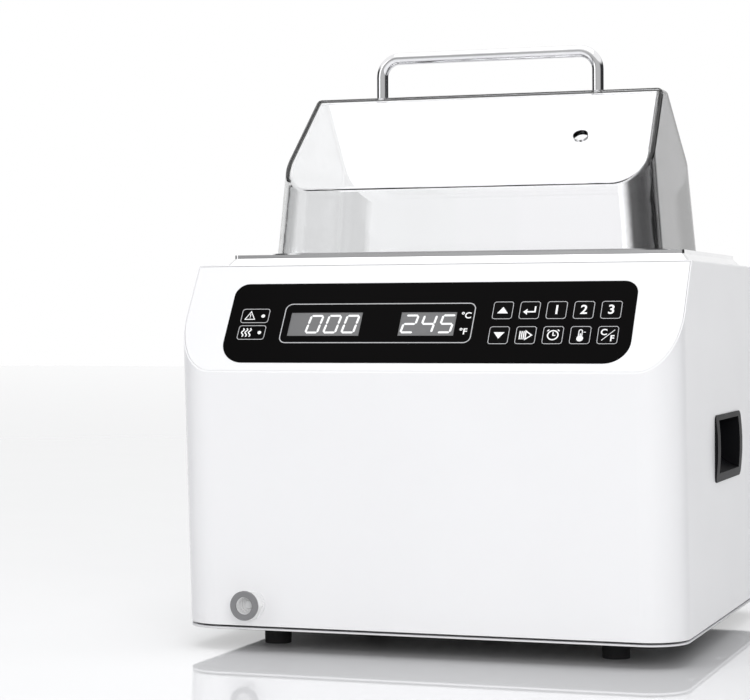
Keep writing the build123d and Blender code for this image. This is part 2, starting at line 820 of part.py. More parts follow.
drain_axis = Plane(origin=(drain_x, drain_face_y, drain_z), x_dir=(0, 1, 0), z_dir=(1, 0, 0))
tube_start = drain_ring_lip
seat_end = valve_depth + valve_thickness
tube_end = drain_reach + case_wall + drain_collar_gap
collar_end = tube_end + drain_collar_thickness
barb_end = collar_end + barb_length
with BuildPart() as drain_spout:
    with BuildSketch(drain_axis):
        with BuildLine():
            Polyline(
                (tube_start, socket_radius),
                (tube_start, drain_tube_radius),
                (tube_end, drain_tube_radius),
                (tube_end, drain_collar_radius),
                (collar_end, drain_collar_radius),
                (collar_end, barb_radius),
                (barb_end, barb_radius),
                (barb_end, barb_bore_radius),
                (tube_end, barb_bore_radius),
                (tube_end, chamber_radius),
                (seat_end, chamber_radius),
                (seat_end, seat_radius),
                (socket_end, seat_radius),
                (socket_end, socket_radius),
                close=True,
            )
        make_face()
    revolve(axis=Axis((drain_x, drain_face_y, drain_z), (0, 1, 0)))
save(drain_spout, "drain_spout")

with BuildPart() as drain_ring:
    with BuildSketch(drain_axis):
        with BuildLine():
            Polyline(
                (0, drain_bore_radius),
                (0, drain_ring_radius),
                (drain_ring_length, drain_ring_radius),
                (drain_ring_length, drain_tube_radius + fit_clearance),
                (drain_ring_lip, drain_tube_radius + fit_clearance),
                (drain_ring_lip, drain_bore_radius),
                close=True,
            )
        make_face()
    revolve(axis=Axis((drain_x, drain_face_y, drain_z), (0, 1, 0)))
    fillet(drain_ring.edges().group_by(Axis.Y)[0].sort_by(SortBy.LENGTH)[-1], drain_ring_rounding)
save(drain_ring, "drain_ring")

with BuildPart() as drain_nut:
    with BuildSketch(drain_plane.offset(drain_pad_proud)):
        RegularPolygon(drain_nut_across_flats / 2, 6, major_radius=False)
        Circle(drain_tube_radius + fit_clearance, mode=Mode.SUBTRACT)
    extrude(amount=drain_reach - drain_pad_proud - drain_ring_length)
save(drain_nut, "drain_nut")

valve_wing_span = 2 * math.sqrt((barb_bore_radius - running_clearance) ** 2 - (valve_wing_thickness / 2) ** 2)
wing_length = tube_end - seat_end + valve_wing_reach
with BuildPart() as drain_valve:
    valve_plane = Plane(origin=(drain_x, drain_face_y + seat_end, drain_z), x_dir=(1, 0, 0), z_dir=(0, -1, 0))
    with BuildSketch(valve_plane):
        Circle(seat_radius - running_clearance)
    extrude(amount=valve_thickness)
    with BuildSketch(valve_plane.offset(valve_thickness)):
        Circle(valve_cone_radius)
    extrude(amount=valve_cone_height, taper=valve_cone_taper)
    with BuildSketch(valve_plane):
        Rectangle(valve_wing_span, valve_wing_thickness)
        Rectangle(valve_wing_thickness, valve_wing_span)
    extrude(amount=-wing_length)
save(drain_valve, "drain_valve")

hose_start_y = drain_face_y + collar_end + fit_clearance
hose_top_z = tank_bottom_z - outlet_flange_thickness - fit_clearance
with BuildPart() as drain_hose:
    with BuildLine() as hose_path:
        FilletPolyline(
            (drain_x, hose_start_y, drain_z),
            (drain_x, outlet_point[1], drain_z),
            (drain_x, outlet_point[1], hose_top_z),
            radius=hose_bend,
        )
    with BuildSketch(Plane(origin=hose_path.line @ 0, z_dir=hose_path.line % 0)):
        Circle(hose_radius)
        Circle(hose_bore_radius, mode=Mode.SUBTRACT)
    sweep()
save(drain_hose, "drain_hose")

with BuildPart() as hose_clamps:
    for clamp_plane in (
        Plane(origin=(drain_x, hose_start_y + barb_length / 3, drain_z), x_dir=(1, 0, 0), z_dir=(0, 1, 0)),
        Plane(origin=(*outlet_point, hose_top_z - barb_length / 3), x_dir=(1, 0, 0), z_dir=(0, 0, -1)),
    ):
        with BuildSketch(clamp_plane):
            Circle(hose_radius + fit_clearance + clamp_thickness)
            Circle(hose_radius + fit_clearance, mode=Mode.SUBTRACT)
        extrude(amount=clamp_width)
save(hose_clamps, "hose_clamps")


# Lid: drafted walls with large upright corners, cut by two roof slopes that meet at a flat ridge
def lid_outline(z, inset):
    """The lid's outline at height z, drawn in by inset."""
    rise = z - lid_z
    with Locations((0, tank_y)):
        RectangleRounded(
            lid_length - 2 * inset - 2 * rise * math.tan(math.radians(lid_end_draft)),
            lid_width - 2 * inset - 2 * rise * math.tan(math.radians(lid_front_draft)),
            lid_corner_radius - inset,
        )


knee_z = lid_z + knee_height
knee_half = lid_width / 2 - knee_height * math.tan(math.radians(lid_front_draft))
roof_run = knee_half - ridge_width / 2
roof_rise = lid_height - knee_height
front_roof = Plane(
    origin=(0, tank_y - knee_half, knee_z), x_dir=(1, 0, 0), z_dir=(0, -roof_rise, roof_run)
)
rear_roof = Plane(
    origin=(0, tank_y + knee_half, knee_z), x_dir=(-1, 0, 0), z_dir=(0, roof_rise, roof_run)
)


def lid_form(inset, bottom_z, edge_radius):
    """The lid's outer form, drawn in by inset on walls, roof and ridge, its roof edges rounded."""
    top_z = ridge_z - inset
    with BuildPart(mode=Mode.PRIVATE) as form:
        with BuildSketch(Plane.XY.offset(bottom_z)):
            lid_outline(bottom_z, inset)
        with BuildSketch(Plane.XY.offset(top_z)):
            lid_outline(top_z, inset)
        loft()
        split(bisect_by=front_roof.offset(-inset), keep=Keep.BOTTOM)
        split(bisect_by=rear_roof.offset(-inset), keep=Keep.BOTTOM)
        roof_faces = form.faces().filter_by(lambda face: face.normal_at().Z > 0.5)
        fillet(roof_faces.edges(), edge_radius)
    return form.part


with BuildPart() as lid:
    add(lid_form(0, lid_z, roof_edge_radius))
    add(lid_form(lid_wall, lid_z - lid_wall, roof_inner_radius), mode=Mode.SUBTRACT)
    with BuildSketch(front_roof):
        with Locations(
            (thermometer_hole_x, (thermometer_hole_height - knee_height) * math.hypot(roof_run, roof_rise) / roof_rise)
        ):
            Circle(thermometer_hole_radius)
    extrude(amount=-2 * lid_wall, mode=Mode.SUBTRACT)
    with Locations(Plane(origin=(0, tank_y, ridge_z - lid_wall), x_dir=(1, 0, 0), z_dir=(0, 0, -1))):
        with GridLocations(handle_spacing, 0, 2, 1):
            CounterSinkHole(
                handle_screw_radius + fit_clearance,
                handle_screw_head_radius + fit_clearance,
                depth=2 * lid_wall,
                counter_sink_angle=handle_screw_angle,
            )
save(lid, "lid")

bar_z = ridge_z + handle_height - handle_rod_radius
with BuildPart() as lid_handle:
    with BuildLine() as handle_path:
        FilletPolyline(
            (-handle_spacing / 2, tank_y, ridge_z),
            (-handle_spacing / 2, tank_y, bar_z),
            (handle_spacing / 2, tank_y, bar_z),
            (handle_spacing / 2, tank_y, ridge_z),
            radius=handle_bend,
        )
    with BuildSketch(Plane(origin=handle_path.line @ 0, z_dir=handle_path.line % 0)):
        Circle(handle_rod_radius)
    sweep()
    with BuildSketch(Plane.XY.offset(ridge_z)):
        with Locations((0, tank_y)):
            with GridLocations(handle_spacing, 0, 2, 1):
                Circle(handle_screw_radius + fit_clearance)
    extrude(amount=handle_screw_reach + screw_tip_room, mode=Mode.SUBTRACT)
save(lid_handle, "lid_handle")

with BuildPart() as handle_screws:
    with BuildSketch(Plane.XY.offset(ridge_z - lid_wall)):
        with Locations((0, tank_y)):
            with GridLocations(handle_spacing, 0, 2, 1):
                Circle(handle_screw_radius)
    extrude(amount=lid_wall + handle_screw_reach)
    with BuildSketch(Plane.XY.offset(ridge_z - lid_wall)):
        with Locations((0, tank_y)):
            with GridLocations(handle_spacing, 0, 2, 1):
                Circle(handle_screw_head_radius - fit_clearance)
    extrude(amount=handle_screw_head_radius - handle_screw_radius - 2 * fit_clearance, taper=handle_screw_angle / 2)
save(handle_screws, "handle_screws")

# Side handles: a scooped cup behind a lip that bows outwards
cup_outer_x = case_width / 2
cup_inner_x = cup_outer_x - cup_depth
body_length = cup_opening_length - 2 * cup_gap
body_half = cup_opening_width / 2 - cup_gap
hollow_half = body_half - cup_wall
scoop_x = cup_outer_x + cup_scoop_out
scoop_radius = scoop_x - cup_inner_x - cup_wall
mouth_x = cup_outer_x + 2 * cup_lip_bow
scoop_turn = math.degrees(math.acos((scoop_x - mouth_x) / scoop_radius))
for cup_name, side in (("side_handle_left", -1), ("side_handle_right", 1)):
    up = -side
    lip_plane = Plane(origin=(0, cup_y - cup_length / 2, cup_z), x_dir=(side, 0, 0), z_dir=(0, 1, 0))
    body_plane = Plane(origin=(0, cup_y - body_length / 2, cup_z), x_dir=(side, 0, 0), z_dir=(0, 1, 0))
    with BuildPart() as cup:
        with BuildSketch(lip_plane):
            with BuildLine():
                Polyline(
                    (cup_outer_x + cup_lip_edge, -cup_width / 2),
                    (cup_outer_x, -cup_width / 2),
                    (cup_outer_x, cup_width / 2),
                    (cup_outer_x + cup_lip_edge, cup_width / 2),
                )
                ThreePointArc(
                    (cup_outer_x + cup_lip_edge, cup_width / 2),
                    (cup_outer_x + cup_lip_bow, 0),
                    (cup_outer_x + cup_lip_edge, -cup_width / 2),
                )
            make_face()
        extrude(amount=cup_length)
        fillet(cup.edges().filter_by(Axis.X), cup_corner_radius)
        with BuildSketch(body_plane):
            with Locations(((cup_outer_x + cup_inner_x) / 2, 0)):
                Rectangle(cup_depth, 2 * body_half)
        extrude(amount=body_length)
        with BuildSketch(body_plane.offset(cup_wall)):
            with BuildLine():
                scoop = CenterArc((scoop_x, up * cup_scoop_up), scoop_radius, 180, scoop_turn * up)
                Polyline(
                    scoop @ 1,
                    (mouth_x, up * hollow_half),
                    (cup_inner_x + cup_wall, up * hollow_half),
                    scoop @ 0,
                )
            make_face()
        extrude(amount=body_length - 2 * cup_wall, mode=Mode.SUBTRACT)
    save(cup, cup_name)

# Base plate, its screws, and four feet
foot_x = case_width / 2 - foot_inset_x
foot_points = {
    "foot_front_left": (-foot_x, front_y + foot_inset_y),
    "foot_front_right": (foot_x, front_y + foot_inset_y),
    "foot_rear_left": (-foot_x, rear_y - foot_inset_y),
    "foot_rear_right": (foot_x, rear_y - foot_inset_y),
}
with BuildPart() as base_plate:
    with BuildSketch(Plane.XY.offset(plate_z)) as plate_outline:
        with Locations((0, (front_y + rear_y) / 2)):
            Rectangle(case_width - 2 * plate_reveal, case_depth - 2 * plate_reveal)
        plate_corners = plate_outline.vertices().group_by(Axis.Y)
        fillet(plate_corners[0], front_corner_radius - plate_reveal)
        plate_corners = plate_outline.vertices().group_by(Axis.Y)
        fillet(plate_corners[-1], rear_corner_radius - plate_reveal)
        with Locations((0, tank_y)):
            with GridLocations(2 * slot_pitch, 0, plate_slot_columns, 1):
                SlotOverall(slot_length, slot_width, rotation=90, mode=Mode.SUBTRACT)
        with Locations(*base_boss_points):
            Circle(screw_radius + screw_clearance, mode=Mode.SUBTRACT)
    extrude(amount=plate_thickness)
    with BuildSketch(Plane.XY.offset(plate_top_z)):
        with Locations(*foot_points.values()):
            Circle(weld_nut_radius)
    extrude(amount=foot_screw_engagement)
    with BuildSketch(Plane.XY.offset(plate_z)):
        with Locations(*foot_points.values()):
            Circle(foot_screw_radius + fit_clearance)
    extrude(amount=plate_thickness + foot_screw_engagement, mode=Mode.SUBTRACT)
save(base_plate, "base_plate")

with BuildPart() as base_screws:
    with BuildSketch(Plane.XY.offset(plate_z)):
        with Locations(*base_boss_points):
            Circle(screw_head_radius)
    extrude(amount=-screw_head_height)
    with BuildSketch(Plane.XY.offset(plate_z)):
        with Locations(*base_boss_points):
            Circle(screw_radius)
    extrude(amount=screw_length)
save(base_screws, "base_screws")

for foot_name, (x, y) in foot_points.items():
    with BuildPart() as foot:
        with BuildSketch(Plane(origin=(x, y, plate_z), x_dir=(1, 0, 0), z_dir=(0, 0, -1))):
            Circle(foot_radius)
        extrude(amount=foot_height, taper=math.degrees(math.atan2(foot_taper, foot_height)))
        with BuildSketch(Plane((x, y, 0))):
            Circle(foot_bore_radius)
        extrude(amount=foot_bore_depth, mode=Mode.SUBTRACT)
        with BuildSketch(Plane((x, y, 0))):
            Circle(foot_screw_radius + fit_clearance)
        extrude(amount=foot_height, mode=Mode.SUBTRACT)
    save(foot, foot_name)

with BuildPart() as foot_screws:
    with BuildSketch(Plane.XY.offset(foot_bore_depth)):
        with Locations(*foot_points.values()):
            Circle(foot_screw_head_radius)
    extrude(amount=-foot_screw_head_height)
    with BuildSketch(Plane.XY.offset(foot_bore_depth)):
        with Locations(*foot_points.values()):
            Circle(foot_screw_radius)
    extrude(amount=plate_top_z + foot_screw_engagement - foot_bore_depth)
save(foot_screws, "foot_screws")

# Rear panel with its vent slots, mains inlet and switch openings
inlet_plane = Plane(origin=(-inlet_x, rear_y, panel_z + inlet_z), x_dir=(-1, 0, 0), z_dir=(0, 1, 0))
switch_plane = Plane(origin=(-switch_x, rear_y, panel_z + inlet_z), x_dir=(-1, 0, 0), z_dir=(0, 1, 0))
with BuildPart() as rear_panel:
    with BuildSketch(rear_face.offset(-panel_sheet)):
        RectangleRounded(panel_length_rear, panel_height_rear, panel_corner_radius)
        for x in (-slot_group_x, slot_group_x):
            with Locations((x, slot_group_z)):
                with GridLocations(0, slot_pitch, 1, slot_count):
                    SlotOverall(slot_length, slot_width, mode=Mode.SUBTRACT)
        with Locations((inlet_x, inlet_z)):
            Rectangle(
                inlet_body_length + 2 * fit_clearance, inlet_body_height + 2 * fit_clearance, mode=Mode.SUBTRACT
            )
        with Locations((switch_x, inlet_z)):
            Rectangle(
                switch_body_length + 2 * fit_clearance, switch_body_height + 2 * fit_clearance, mode=Mode.SUBTRACT
            )
        with Locations(*panel_screw_points):
            Circle(screw_radius + screw_clearance, mode=Mode.SUBTRACT)
    extrude(amount=panel_sheet)
save(rear_panel, "rear_panel")

with BuildPart() as rear_panel_screws:
    with BuildSketch(rear_face):
        with Locations(*panel_screw_points):
            Circle(screw_head_radius)
    extrude(amount=screw_head_height)
    with BuildSketch(rear_face):
        with Locations(*panel_screw_points):
            Circle(screw_radius)
    extrude(amount=-screw_length / 2)
save(rear_panel_screws, "rear_panel_screws")

drawer_y = -drawer_drop
with BuildPart() as power_inlet:
    with BuildSketch(inlet_plane):
        RectangleRounded(inlet_flange_length, inlet_flange_height, inlet_corner_radius)
    extrude(amount=inlet_reach)
    with BuildSketch(inlet_plane):
        Rectangle(inlet_body_length, inlet_body_height)
    extrude(amount=-inlet_body_depth)
    with BuildSketch(inlet_plane.offset(inlet_reach)):
        with Locations((0, inlet_socket_rise)):
            RectangleRounded(inlet_socket_length, inlet_socket_height, inlet_corner_radius)
    extrude(amount=-inlet_socket_depth, mode=Mode.SUBTRACT)
    with BuildSketch(inlet_plane.offset(inlet_reach)):
        with Locations((0, drawer_y)):
            Rectangle(drawer_length + 2 * drawer_gap, drawer_height + 2 * drawer_gap)
    extrude(amount=-(drawer_depth + inlet_reach + drawer_gap), mode=Mode.SUBTRACT)
    with BuildSketch(inlet_plane.offset(inlet_reach - inlet_socket_depth)):
        with Locations(
            (0, inlet_socket_rise + pin_drop / 2),
            (-pin_spacing / 2, inlet_socket_rise - pin_drop / 2),
            (pin_spacing / 2, inlet_socket_rise - pin_drop / 2),
        ):
            Rectangle(pin_thickness, pin_width)
    extrude(amount=pin_length)
save(power_inlet, "power_inlet")

with BuildPart() as fuse_drawer:
    with BuildSketch(inlet_plane.offset(inlet_reach - drawer_gap)):
        with Locations((0, drawer_y)):
            Rectangle(drawer_length, drawer_height)
    extrude(amount=-(drawer_depth + inlet_reach - drawer_gap))
    with BuildSketch(inlet_plane.offset(inlet_reach - drawer_gap)):
        with Locations((0, drawer_y)):
            Rectangle(drawer_length / 2, drawer_height / 2)
    extrude(amount=-drawer_grip, mode=Mode.SUBTRACT)
save(fuse_drawer, "fuse_drawer")

pivot_plane = Plane(
    origin=(-switch_x, rear_y - pivot_depth, panel_z + inlet_z), x_dir=(0, 1, 0), z_dir=(1, 0, 0)
)
rocker_cavity_length = rocker_length + 2 * rocker_gap
rocker_cavity_height = rocker_height + 2 * rocker_gap
with BuildPart() as switch_housing:
    with BuildSketch(switch_plane):
        RectangleRounded(switch_flange_length, switch_flange_height, switch_corner_radius)
    extrude(amount=switch_flange_thickness)
    with BuildSketch(switch_plane):
        Rectangle(switch_body_length, switch_body_height)
    extrude(amount=-switch_body_depth)
    with BuildSketch(switch_plane.offset(switch_flange_thickness)):
        Rectangle(rocker_cavity_length, rocker_cavity_height)
    extrude(amount=-(switch_flange_thickness + rocker_drop + 3 * rocker_gap), mode=Mode.SUBTRACT)
    with BuildSketch(pivot_plane):
        Circle(pivot_radius + running_clearance)
    extrude(amount=rocker_cavity_length / 2 + pivot_reach + fit_clearance, both=True, mode=Mode.SUBTRACT)
save(switch_housing, "switch_housing")

rocker_half = rocker_height / 2
rocker_side = pivot_plane.rotated((rocker_tilt, 0, 0))
with BuildPart() as power_rocker:
    with BuildSketch(rocker_side):
        with BuildLine():
            Polyline(
                (pivot_depth - rocker_drop, -rocker_half + rocker_taper),
                (pivot_depth + rocker_proud, -rocker_half),
                (pivot_depth + rocker_proud - rocker_dish, 0),
                (pivot_depth + rocker_proud, rocker_half),
                (pivot_depth - rocker_drop, rocker_half - rocker_taper),
                close=True,
            )
        make_face()
    extrude(amount=rocker_length / 2, both=True)
    with BuildSketch(pivot_plane):
        Circle(pivot_radius)
    extrude(amount=rocker_cavity_length / 2 + pivot_reach, both=True)
save(power_rocker, "power_rocker")

# Power board in the base, on standoffs
board_centre = (power_board_x, rear_y - power_board_from_rear)
power_board_z = plate_top_z + standoff_height
component_z = power_board_z + board_thickness
standoff_grid = (power_board_length - 2 * standoff_margin, power_board_width - 2 * standoff_margin)


def on_board(offset):
    """The place of a part on the power board, from its offset from the board's middle."""
    return board_centre[0] + offset[0], board_centre[1] + offset[1]


with BuildPart() as board_standoffs:
    with BuildSketch(Plane.XY.offset(plate_top_z)):
        with Locations(board_centre):
            with GridLocations(*standoff_grid, 2, 2):
                RegularPolygon(standoff_radius, 6)
    extrude(amount=standoff_height)
save(board_standoffs, "board_standoffs")

with BuildPart() as power_board:
    with BuildSketch(Plane.XY.offset(power_board_z)):
        with Locations(board_centre):
            Rectangle(power_board_length, power_board_width)
            with GridLocations(*standoff_grid, 2, 2):
                Circle(screw_radius, mode=Mode.SUBTRACT)
    extrude(amount=board_thickness)
save(power_board, "power_board")

fin_pitch = (heatsink_length - heatsink_fin) / (heatsink_fin_count - 1)
with BuildPart() as heatsink:
    with BuildSketch(Plane.XY.offset(component_z)):
        with Locations(on_board(heatsink_offset)):
            Rectangle(heatsink_length, heatsink_width)
    extrude(amount=heatsink_base)
    with BuildSketch(Plane.XY.offset(component_z + heatsink_base)):
        with Locations(on_board(heatsink_offset)):
            with GridLocations(fin_pitch, 0, heatsink_fin_count, 1):
                Rectangle(heatsink_fin, heatsink_width)
    extrude(amount=heatsink_height - heatsink_base)
save(heatsink, "heatsink")

with BuildPart() as transformer:
    core_length, core_width, core_height = transformer_size
    with BuildSketch(Plane.XY.offset(component_z)):
        with Locations(on_board(transformer_offset)):
            Rectangle(core_length, core_width)
    extrude(amount=core_height)
    with BuildSketch(Plane.XY.offset(component_z + transformer_bobbin)):
        with Locations(on_board(transformer_offset)):
            Rectangle(core_length - 2 * transformer_bobbin, core_width + 2 * transformer_bobbin)
    extrude(amount=core_height - 2 * transformer_bobbin)
save(transformer, "transformer")

with BuildPart() as relay:
    relay_length, relay_width, relay_height = relay_size
    with BuildSketch(Plane.XY.offset(component_z)):
        with Locations(on_board(relay_offset)):
            Rectangle(relay_length, relay_width)
    extrude(amount=relay_height)
    fillet(relay.edges().group_by(Axis.Z)[-1], relay_edge_radius)
save(relay, "relay")

terminal_pitch = terminal_length / terminal_ways
with BuildPart() as terminal_block:
    with BuildSketch(Plane.XY.offset(component_z)):
        with Locations(on_board(terminal_offset)):
            Rectangle(terminal_length, terminal_width)
    extrude(amount=terminal_height)
    with BuildSketch(Plane.XY.offset(component_z + terminal_height)):
        with Locations(on_board(terminal_offset)):
            with GridLocations(terminal_pitch, 0, terminal_ways, 1):
                Rectangle(terminal_pitch / 2, terminal_width)
    extrude(amount=-terminal_height / 3, mode=Mode.SUBTRACT)
save(terminal_block, "terminal_block")
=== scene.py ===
# %% [markdown]
# # A bench water bath, dressed for its portrait
# The CAD solids arrive as a fixed frame. This file sets the camera and the light, gives the solids
# their finishes, and adds what is too fine for them: printed signs, display digits, screw heads and
# inlet pins.

# %% Load the frame
import bpy
import bmesh
import json
import math
from mathutils import Matrix, Vector


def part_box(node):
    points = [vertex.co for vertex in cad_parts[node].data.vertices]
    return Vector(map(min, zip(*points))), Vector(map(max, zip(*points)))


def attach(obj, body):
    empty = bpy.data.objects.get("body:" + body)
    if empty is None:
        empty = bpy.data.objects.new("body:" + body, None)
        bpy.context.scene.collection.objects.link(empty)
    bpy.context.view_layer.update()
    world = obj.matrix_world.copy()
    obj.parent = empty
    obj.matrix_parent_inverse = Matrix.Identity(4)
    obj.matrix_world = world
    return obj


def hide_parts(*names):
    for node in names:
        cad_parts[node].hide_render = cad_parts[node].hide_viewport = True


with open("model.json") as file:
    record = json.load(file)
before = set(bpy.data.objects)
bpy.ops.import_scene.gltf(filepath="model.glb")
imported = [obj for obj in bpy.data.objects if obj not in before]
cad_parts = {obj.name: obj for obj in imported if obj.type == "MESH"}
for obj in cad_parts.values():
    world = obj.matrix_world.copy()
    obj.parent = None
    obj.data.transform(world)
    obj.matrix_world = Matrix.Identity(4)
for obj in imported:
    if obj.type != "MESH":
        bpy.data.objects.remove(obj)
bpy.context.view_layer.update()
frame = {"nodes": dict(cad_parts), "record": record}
nodes = frame["nodes"]

# %% [markdown]
# ## The camera
# The photograph was taken from a little to the right with a long lens held level, so upright edges stay
# upright. A vertical shift puts the horizon off the middle of the picture without tilting the camera.

# %% Camera
camera_place = Vector((0.451, -1.533, 0.2205))
camera_lens = 108.76
camera_shift = -0.0435
camera_yaw = math.radians(19.14)
camera_roll = math.radians(-0.23)

camera_data = bpy.data.cameras.new("portrait_camera")
camera_data.lens = camera_lens
camera_data.sensor_width = 36.0
camera_data.shift_y = camera_shift
camera_data.clip_end = 50.0
camera = bpy.data.objects.new("portrait_camera", camera_data)
bpy.context.scene.collection.objects.link(camera)
turn = Matrix.Rotation(camera_yaw, 4, "Z") @ Matrix.Rotation(math.radians(90), 4, "X")
camera.matrix_world = Matrix.Translation(camera_place) @ turn @ Matrix.Rotation(camera_roll, 4, "Z")
bpy.context.scene.camera = camera
print("camera at", tuple(round(c, 3) for c in camera.location))

# %% [markdown]
# ## Room and light
# The camera sees a plain white room. Gloss and the clear lid see a room with tones: white beyond the
# object and overhead, grey behind the camera and nearly black at the sides, which draws the dark edges
# of acrylic and steel. All other rays get a lower, even light, so that pale plastic stays just under
# white. The tones are fixed in the room, and turned with it by the camera's yaw.

# %% World
sky = bpy.data.worlds.new("white_room")
bpy.context.scene.world = sky
sky.use_nodes = True
tree = sky.node_tree
tree.nodes.clear()


def joined(socket, target):
    """A link in the world's tree."""
    tree.links.new(socket, target)


out = tree.nodes.new("ShaderNodeOutputWorld")
backdrop = tree.nodes.new("ShaderNodeBackground")
surround = tree.nodes.new("ShaderNodeBackground")
ambient = tree.nodes.new("ShaderNodeBackground")
gloss_mix = tree.nodes.new("ShaderNodeMixShader")
camera_mix = tree.nodes.new("ShaderNodeMixShader")
path = tree.nodes.new("ShaderNodeLightPath")
backdrop.inputs["Color"].default_value = (1.0, 1.0, 1.0, 1.0)
ambient.inputs["Color"].default_value = (0.97, 0.98, 1.0, 1.0)
ambient.inputs["Strength"].default_value = 0.6
towards = tree.nodes.new("ShaderNodeTexCoord")
turned = tree.nodes.new("ShaderNodeMapping")
turned.inputs["Rotation"].default_value = (0.0, 0.0, -camera_yaw)
joined(towards.outputs["Generated"], turned.inputs["Vector"])
axes = tree.nodes.new("ShaderNodeSeparateXYZ")
joined(turned.outputs["Vector"], axes.inputs[0])


def step_up(socket, start, end, top=1.0):
    """A smooth step from 0 to top, as the value goes from start to end."""
    node = tree.nodes.new("ShaderNodeMapRange")
    node.interpolation_type = "SMOOTHSTEP"
    node.inputs["From Min"].default_value = start
    node.inputs["From Max"].default_value = end
    node.inputs["To Max"].default_value = top
    joined(socket, node.inputs["Value"])
    return node.outputs["Result"]


def stronger(first, second):
    """The larger of two values."""
    node = tree.nodes.new("ShaderNodeMath")
    node.operation = "MAXIMUM"
    joined(first, node.inputs[0])
    joined(second, node.inputs[1])
    return node.outputs[0]


beyond_object = step_up(axes.outputs["Y"], 0.6, 0.85)
overhead = step_up(axes.outputs["Z"], 0.28, 0.5)
behind_camera = step_up(axes.outputs["Y"], -0.55, -0.85, top=0.5)
room_tones = tree.nodes.new("ShaderNodeValToRGB")
room_tones.color_ramp.elements[0].color = (0.03, 0.03, 0.032, 1.0)
joined(stronger(stronger(beyond_object, overhead), behind_camera), room_tones.inputs["Fac"])
joined(room_tones.outputs["Color"], surround.inputs["Color"])
joined(stronger(path.outputs["Is Glossy Ray"], path.outputs["Is Transmission Ray"]), gloss_mix.inputs["Fac"])
joined(ambient.outputs[0], gloss_mix.inputs[1])
joined(surround.outputs[0], gloss_mix.inputs[2])
joined(path.outputs["Is Camera Ray"], camera_mix.inputs["Fac"])
joined(gloss_mix.outputs[0], camera_mix.inputs[1])
joined(backdrop.outputs[0], camera_mix.inputs[2])
joined(camera_mix.outputs[0], out.inputs["Surface"])


# %% Lamps
def softbox(name, place, side, power, in_gloss=True):
    """A square lamp with this side that looks at the object, and is mirrored in it if in_gloss."""
    light = bpy.data.lights.new(name, "AREA")
    light.shape = "SQUARE"
    light.size = side
    light.energy = power
    lamp = bpy.data.objects.new(name, light)
    lamp.location = place
    lamp.rotation_euler = (lamp_target - lamp.location).to_track_quat("-Z", "Y").to_euler()
    lamp.visible_glossy = in_gloss
    bpy.context.scene.collection.objects.link(lamp)


lamp_target = Vector((0.0, 0.0, 0.18))
softbox("front_key", (1.1, -2.2, 0.9), side=1.2, power=22.0, in_gloss=False)
softbox("top_soft", (0.0, -0.3, 2.2), side=2.0, power=16.0)
softbox("left_fill", (-1.6, -1.6, 0.8), side=1.2, power=6.0)

# %% [markdown]
# ## Shared shader groups
# Three small effects are used by many finishes: the fine skin of a moulding, the drawn lines of steel
# and the faint smudges of handling. Each is a group with named sockets, and gives only values.


# %% Helpers for node trees
def shader_group(name, inputs, outputs):
    """An empty shader group with these float sockets, and its two ends."""
    group = bpy.data.node_groups.new(name, "ShaderNodeTree")
    for socket, value in inputs:
        made = group.interface.new_socket(socket, in_out="INPUT", socket_type="NodeSocketFloat")
        made.default_value = value
    for socket in outputs:
        group.interface.new_socket(socket, in_out="OUTPUT", socket_type="NodeSocketFloat")
    return group, group.nodes.new("NodeGroupInput"), group.nodes.new("NodeGroupOutput")


def math_node(tree, operation, first, second):
    """A Math node fed by sockets or plain numbers."""
    node = tree.nodes.new("ShaderNodeMath")
    node.operation = operation
    for socket, value in zip(node.inputs, (first, second)):
        if isinstance(value, (int, float)):
            socket.default_value = value
        else:
            tree.links.new(value, socket)
    return node.outputs[0]


def noise_node(tree, vector, scale, detail=2.0, roughness=0.5):
    """A Noise texture on vector; scale may be a socket."""
    node = tree.nodes.new("ShaderNodeTexNoise")
    tree.links.new(vector, node.inputs["Vector"])
    node.inputs["Detail"].default_value = detail
    node.inputs["Roughness"].default_value = roughness
    if isinstance(scale, (int, float)):
        node.inputs["Scale"].default_value = scale
    else:
        tree.links.new(scale, node.inputs["Scale"])
    return node.outputs["Fac"]


# %% The three groups
moulded_skin, start, end = shader_group("moulded_skin", [("Grain", 1500.0)], ["Height", "Tone"])
place = moulded_skin.nodes.new("ShaderNodeTexCoord").outputs["Object"]
grain = noise_node(moulded_skin, place, start.outputs["Grain"], detail=3.0)
moulded_skin.links.new(grain, end.inputs["Height"])
moulded_skin.links.new(noise_node(moulded_skin, place, scale=9.0, detail=1.0), end.inputs["Tone"])

drawn_lines, start, end = shader_group(
    "drawn_lines", [("Across X", 40.0), ("Across Y", 900.0), ("Across Z", 900.0)], ["Height", "Tone"]
)
place = drawn_lines.nodes.new("ShaderNodeTexCoord").outputs["Object"]
stretch = drawn_lines.nodes.new("ShaderNodeVectorMath")
stretch.operation = "MULTIPLY"
scales = drawn_lines.nodes.new("ShaderNodeCombineXYZ")
for axis in "XYZ":
    drawn_lines.links.new(start.outputs["Across " + axis], scales.inputs[axis])
drawn_lines.links.new(place, stretch.inputs[0])
drawn_lines.links.new(scales.outputs[0], stretch.inputs[1])
drawn_lines.links.new(noise_node(drawn_lines, stretch.outputs[0], scale=1.0), end.inputs["Height"])
drawn_lines.links.new(noise_node(drawn_lines, place, scale=30.0), end.inputs["Tone"])

smudges, start, end = shader_group("smudges", [("Size", 22.0), ("Amount", 0.05)], ["Mask"])
place = smudges.nodes.new("ShaderNodeTexCoord").outputs["Object"]
cloud = noise_node(smudges, place, start.outputs["Size"], detail=4.0, roughness=0.6)
clean_share = 0.45
lifted = math_node(smudges, "SUBTRACT", cloud, clean_share)
lifted = math_node(smudges, "MAXIMUM", lifted, 0.0)
smudges.links.new(math_node(smudges, "MULTIPLY", lifted, start.outputs["Amount"]), end.inputs["Mask"])
print("groups:", [g.name for g in bpy.data.node_groups])


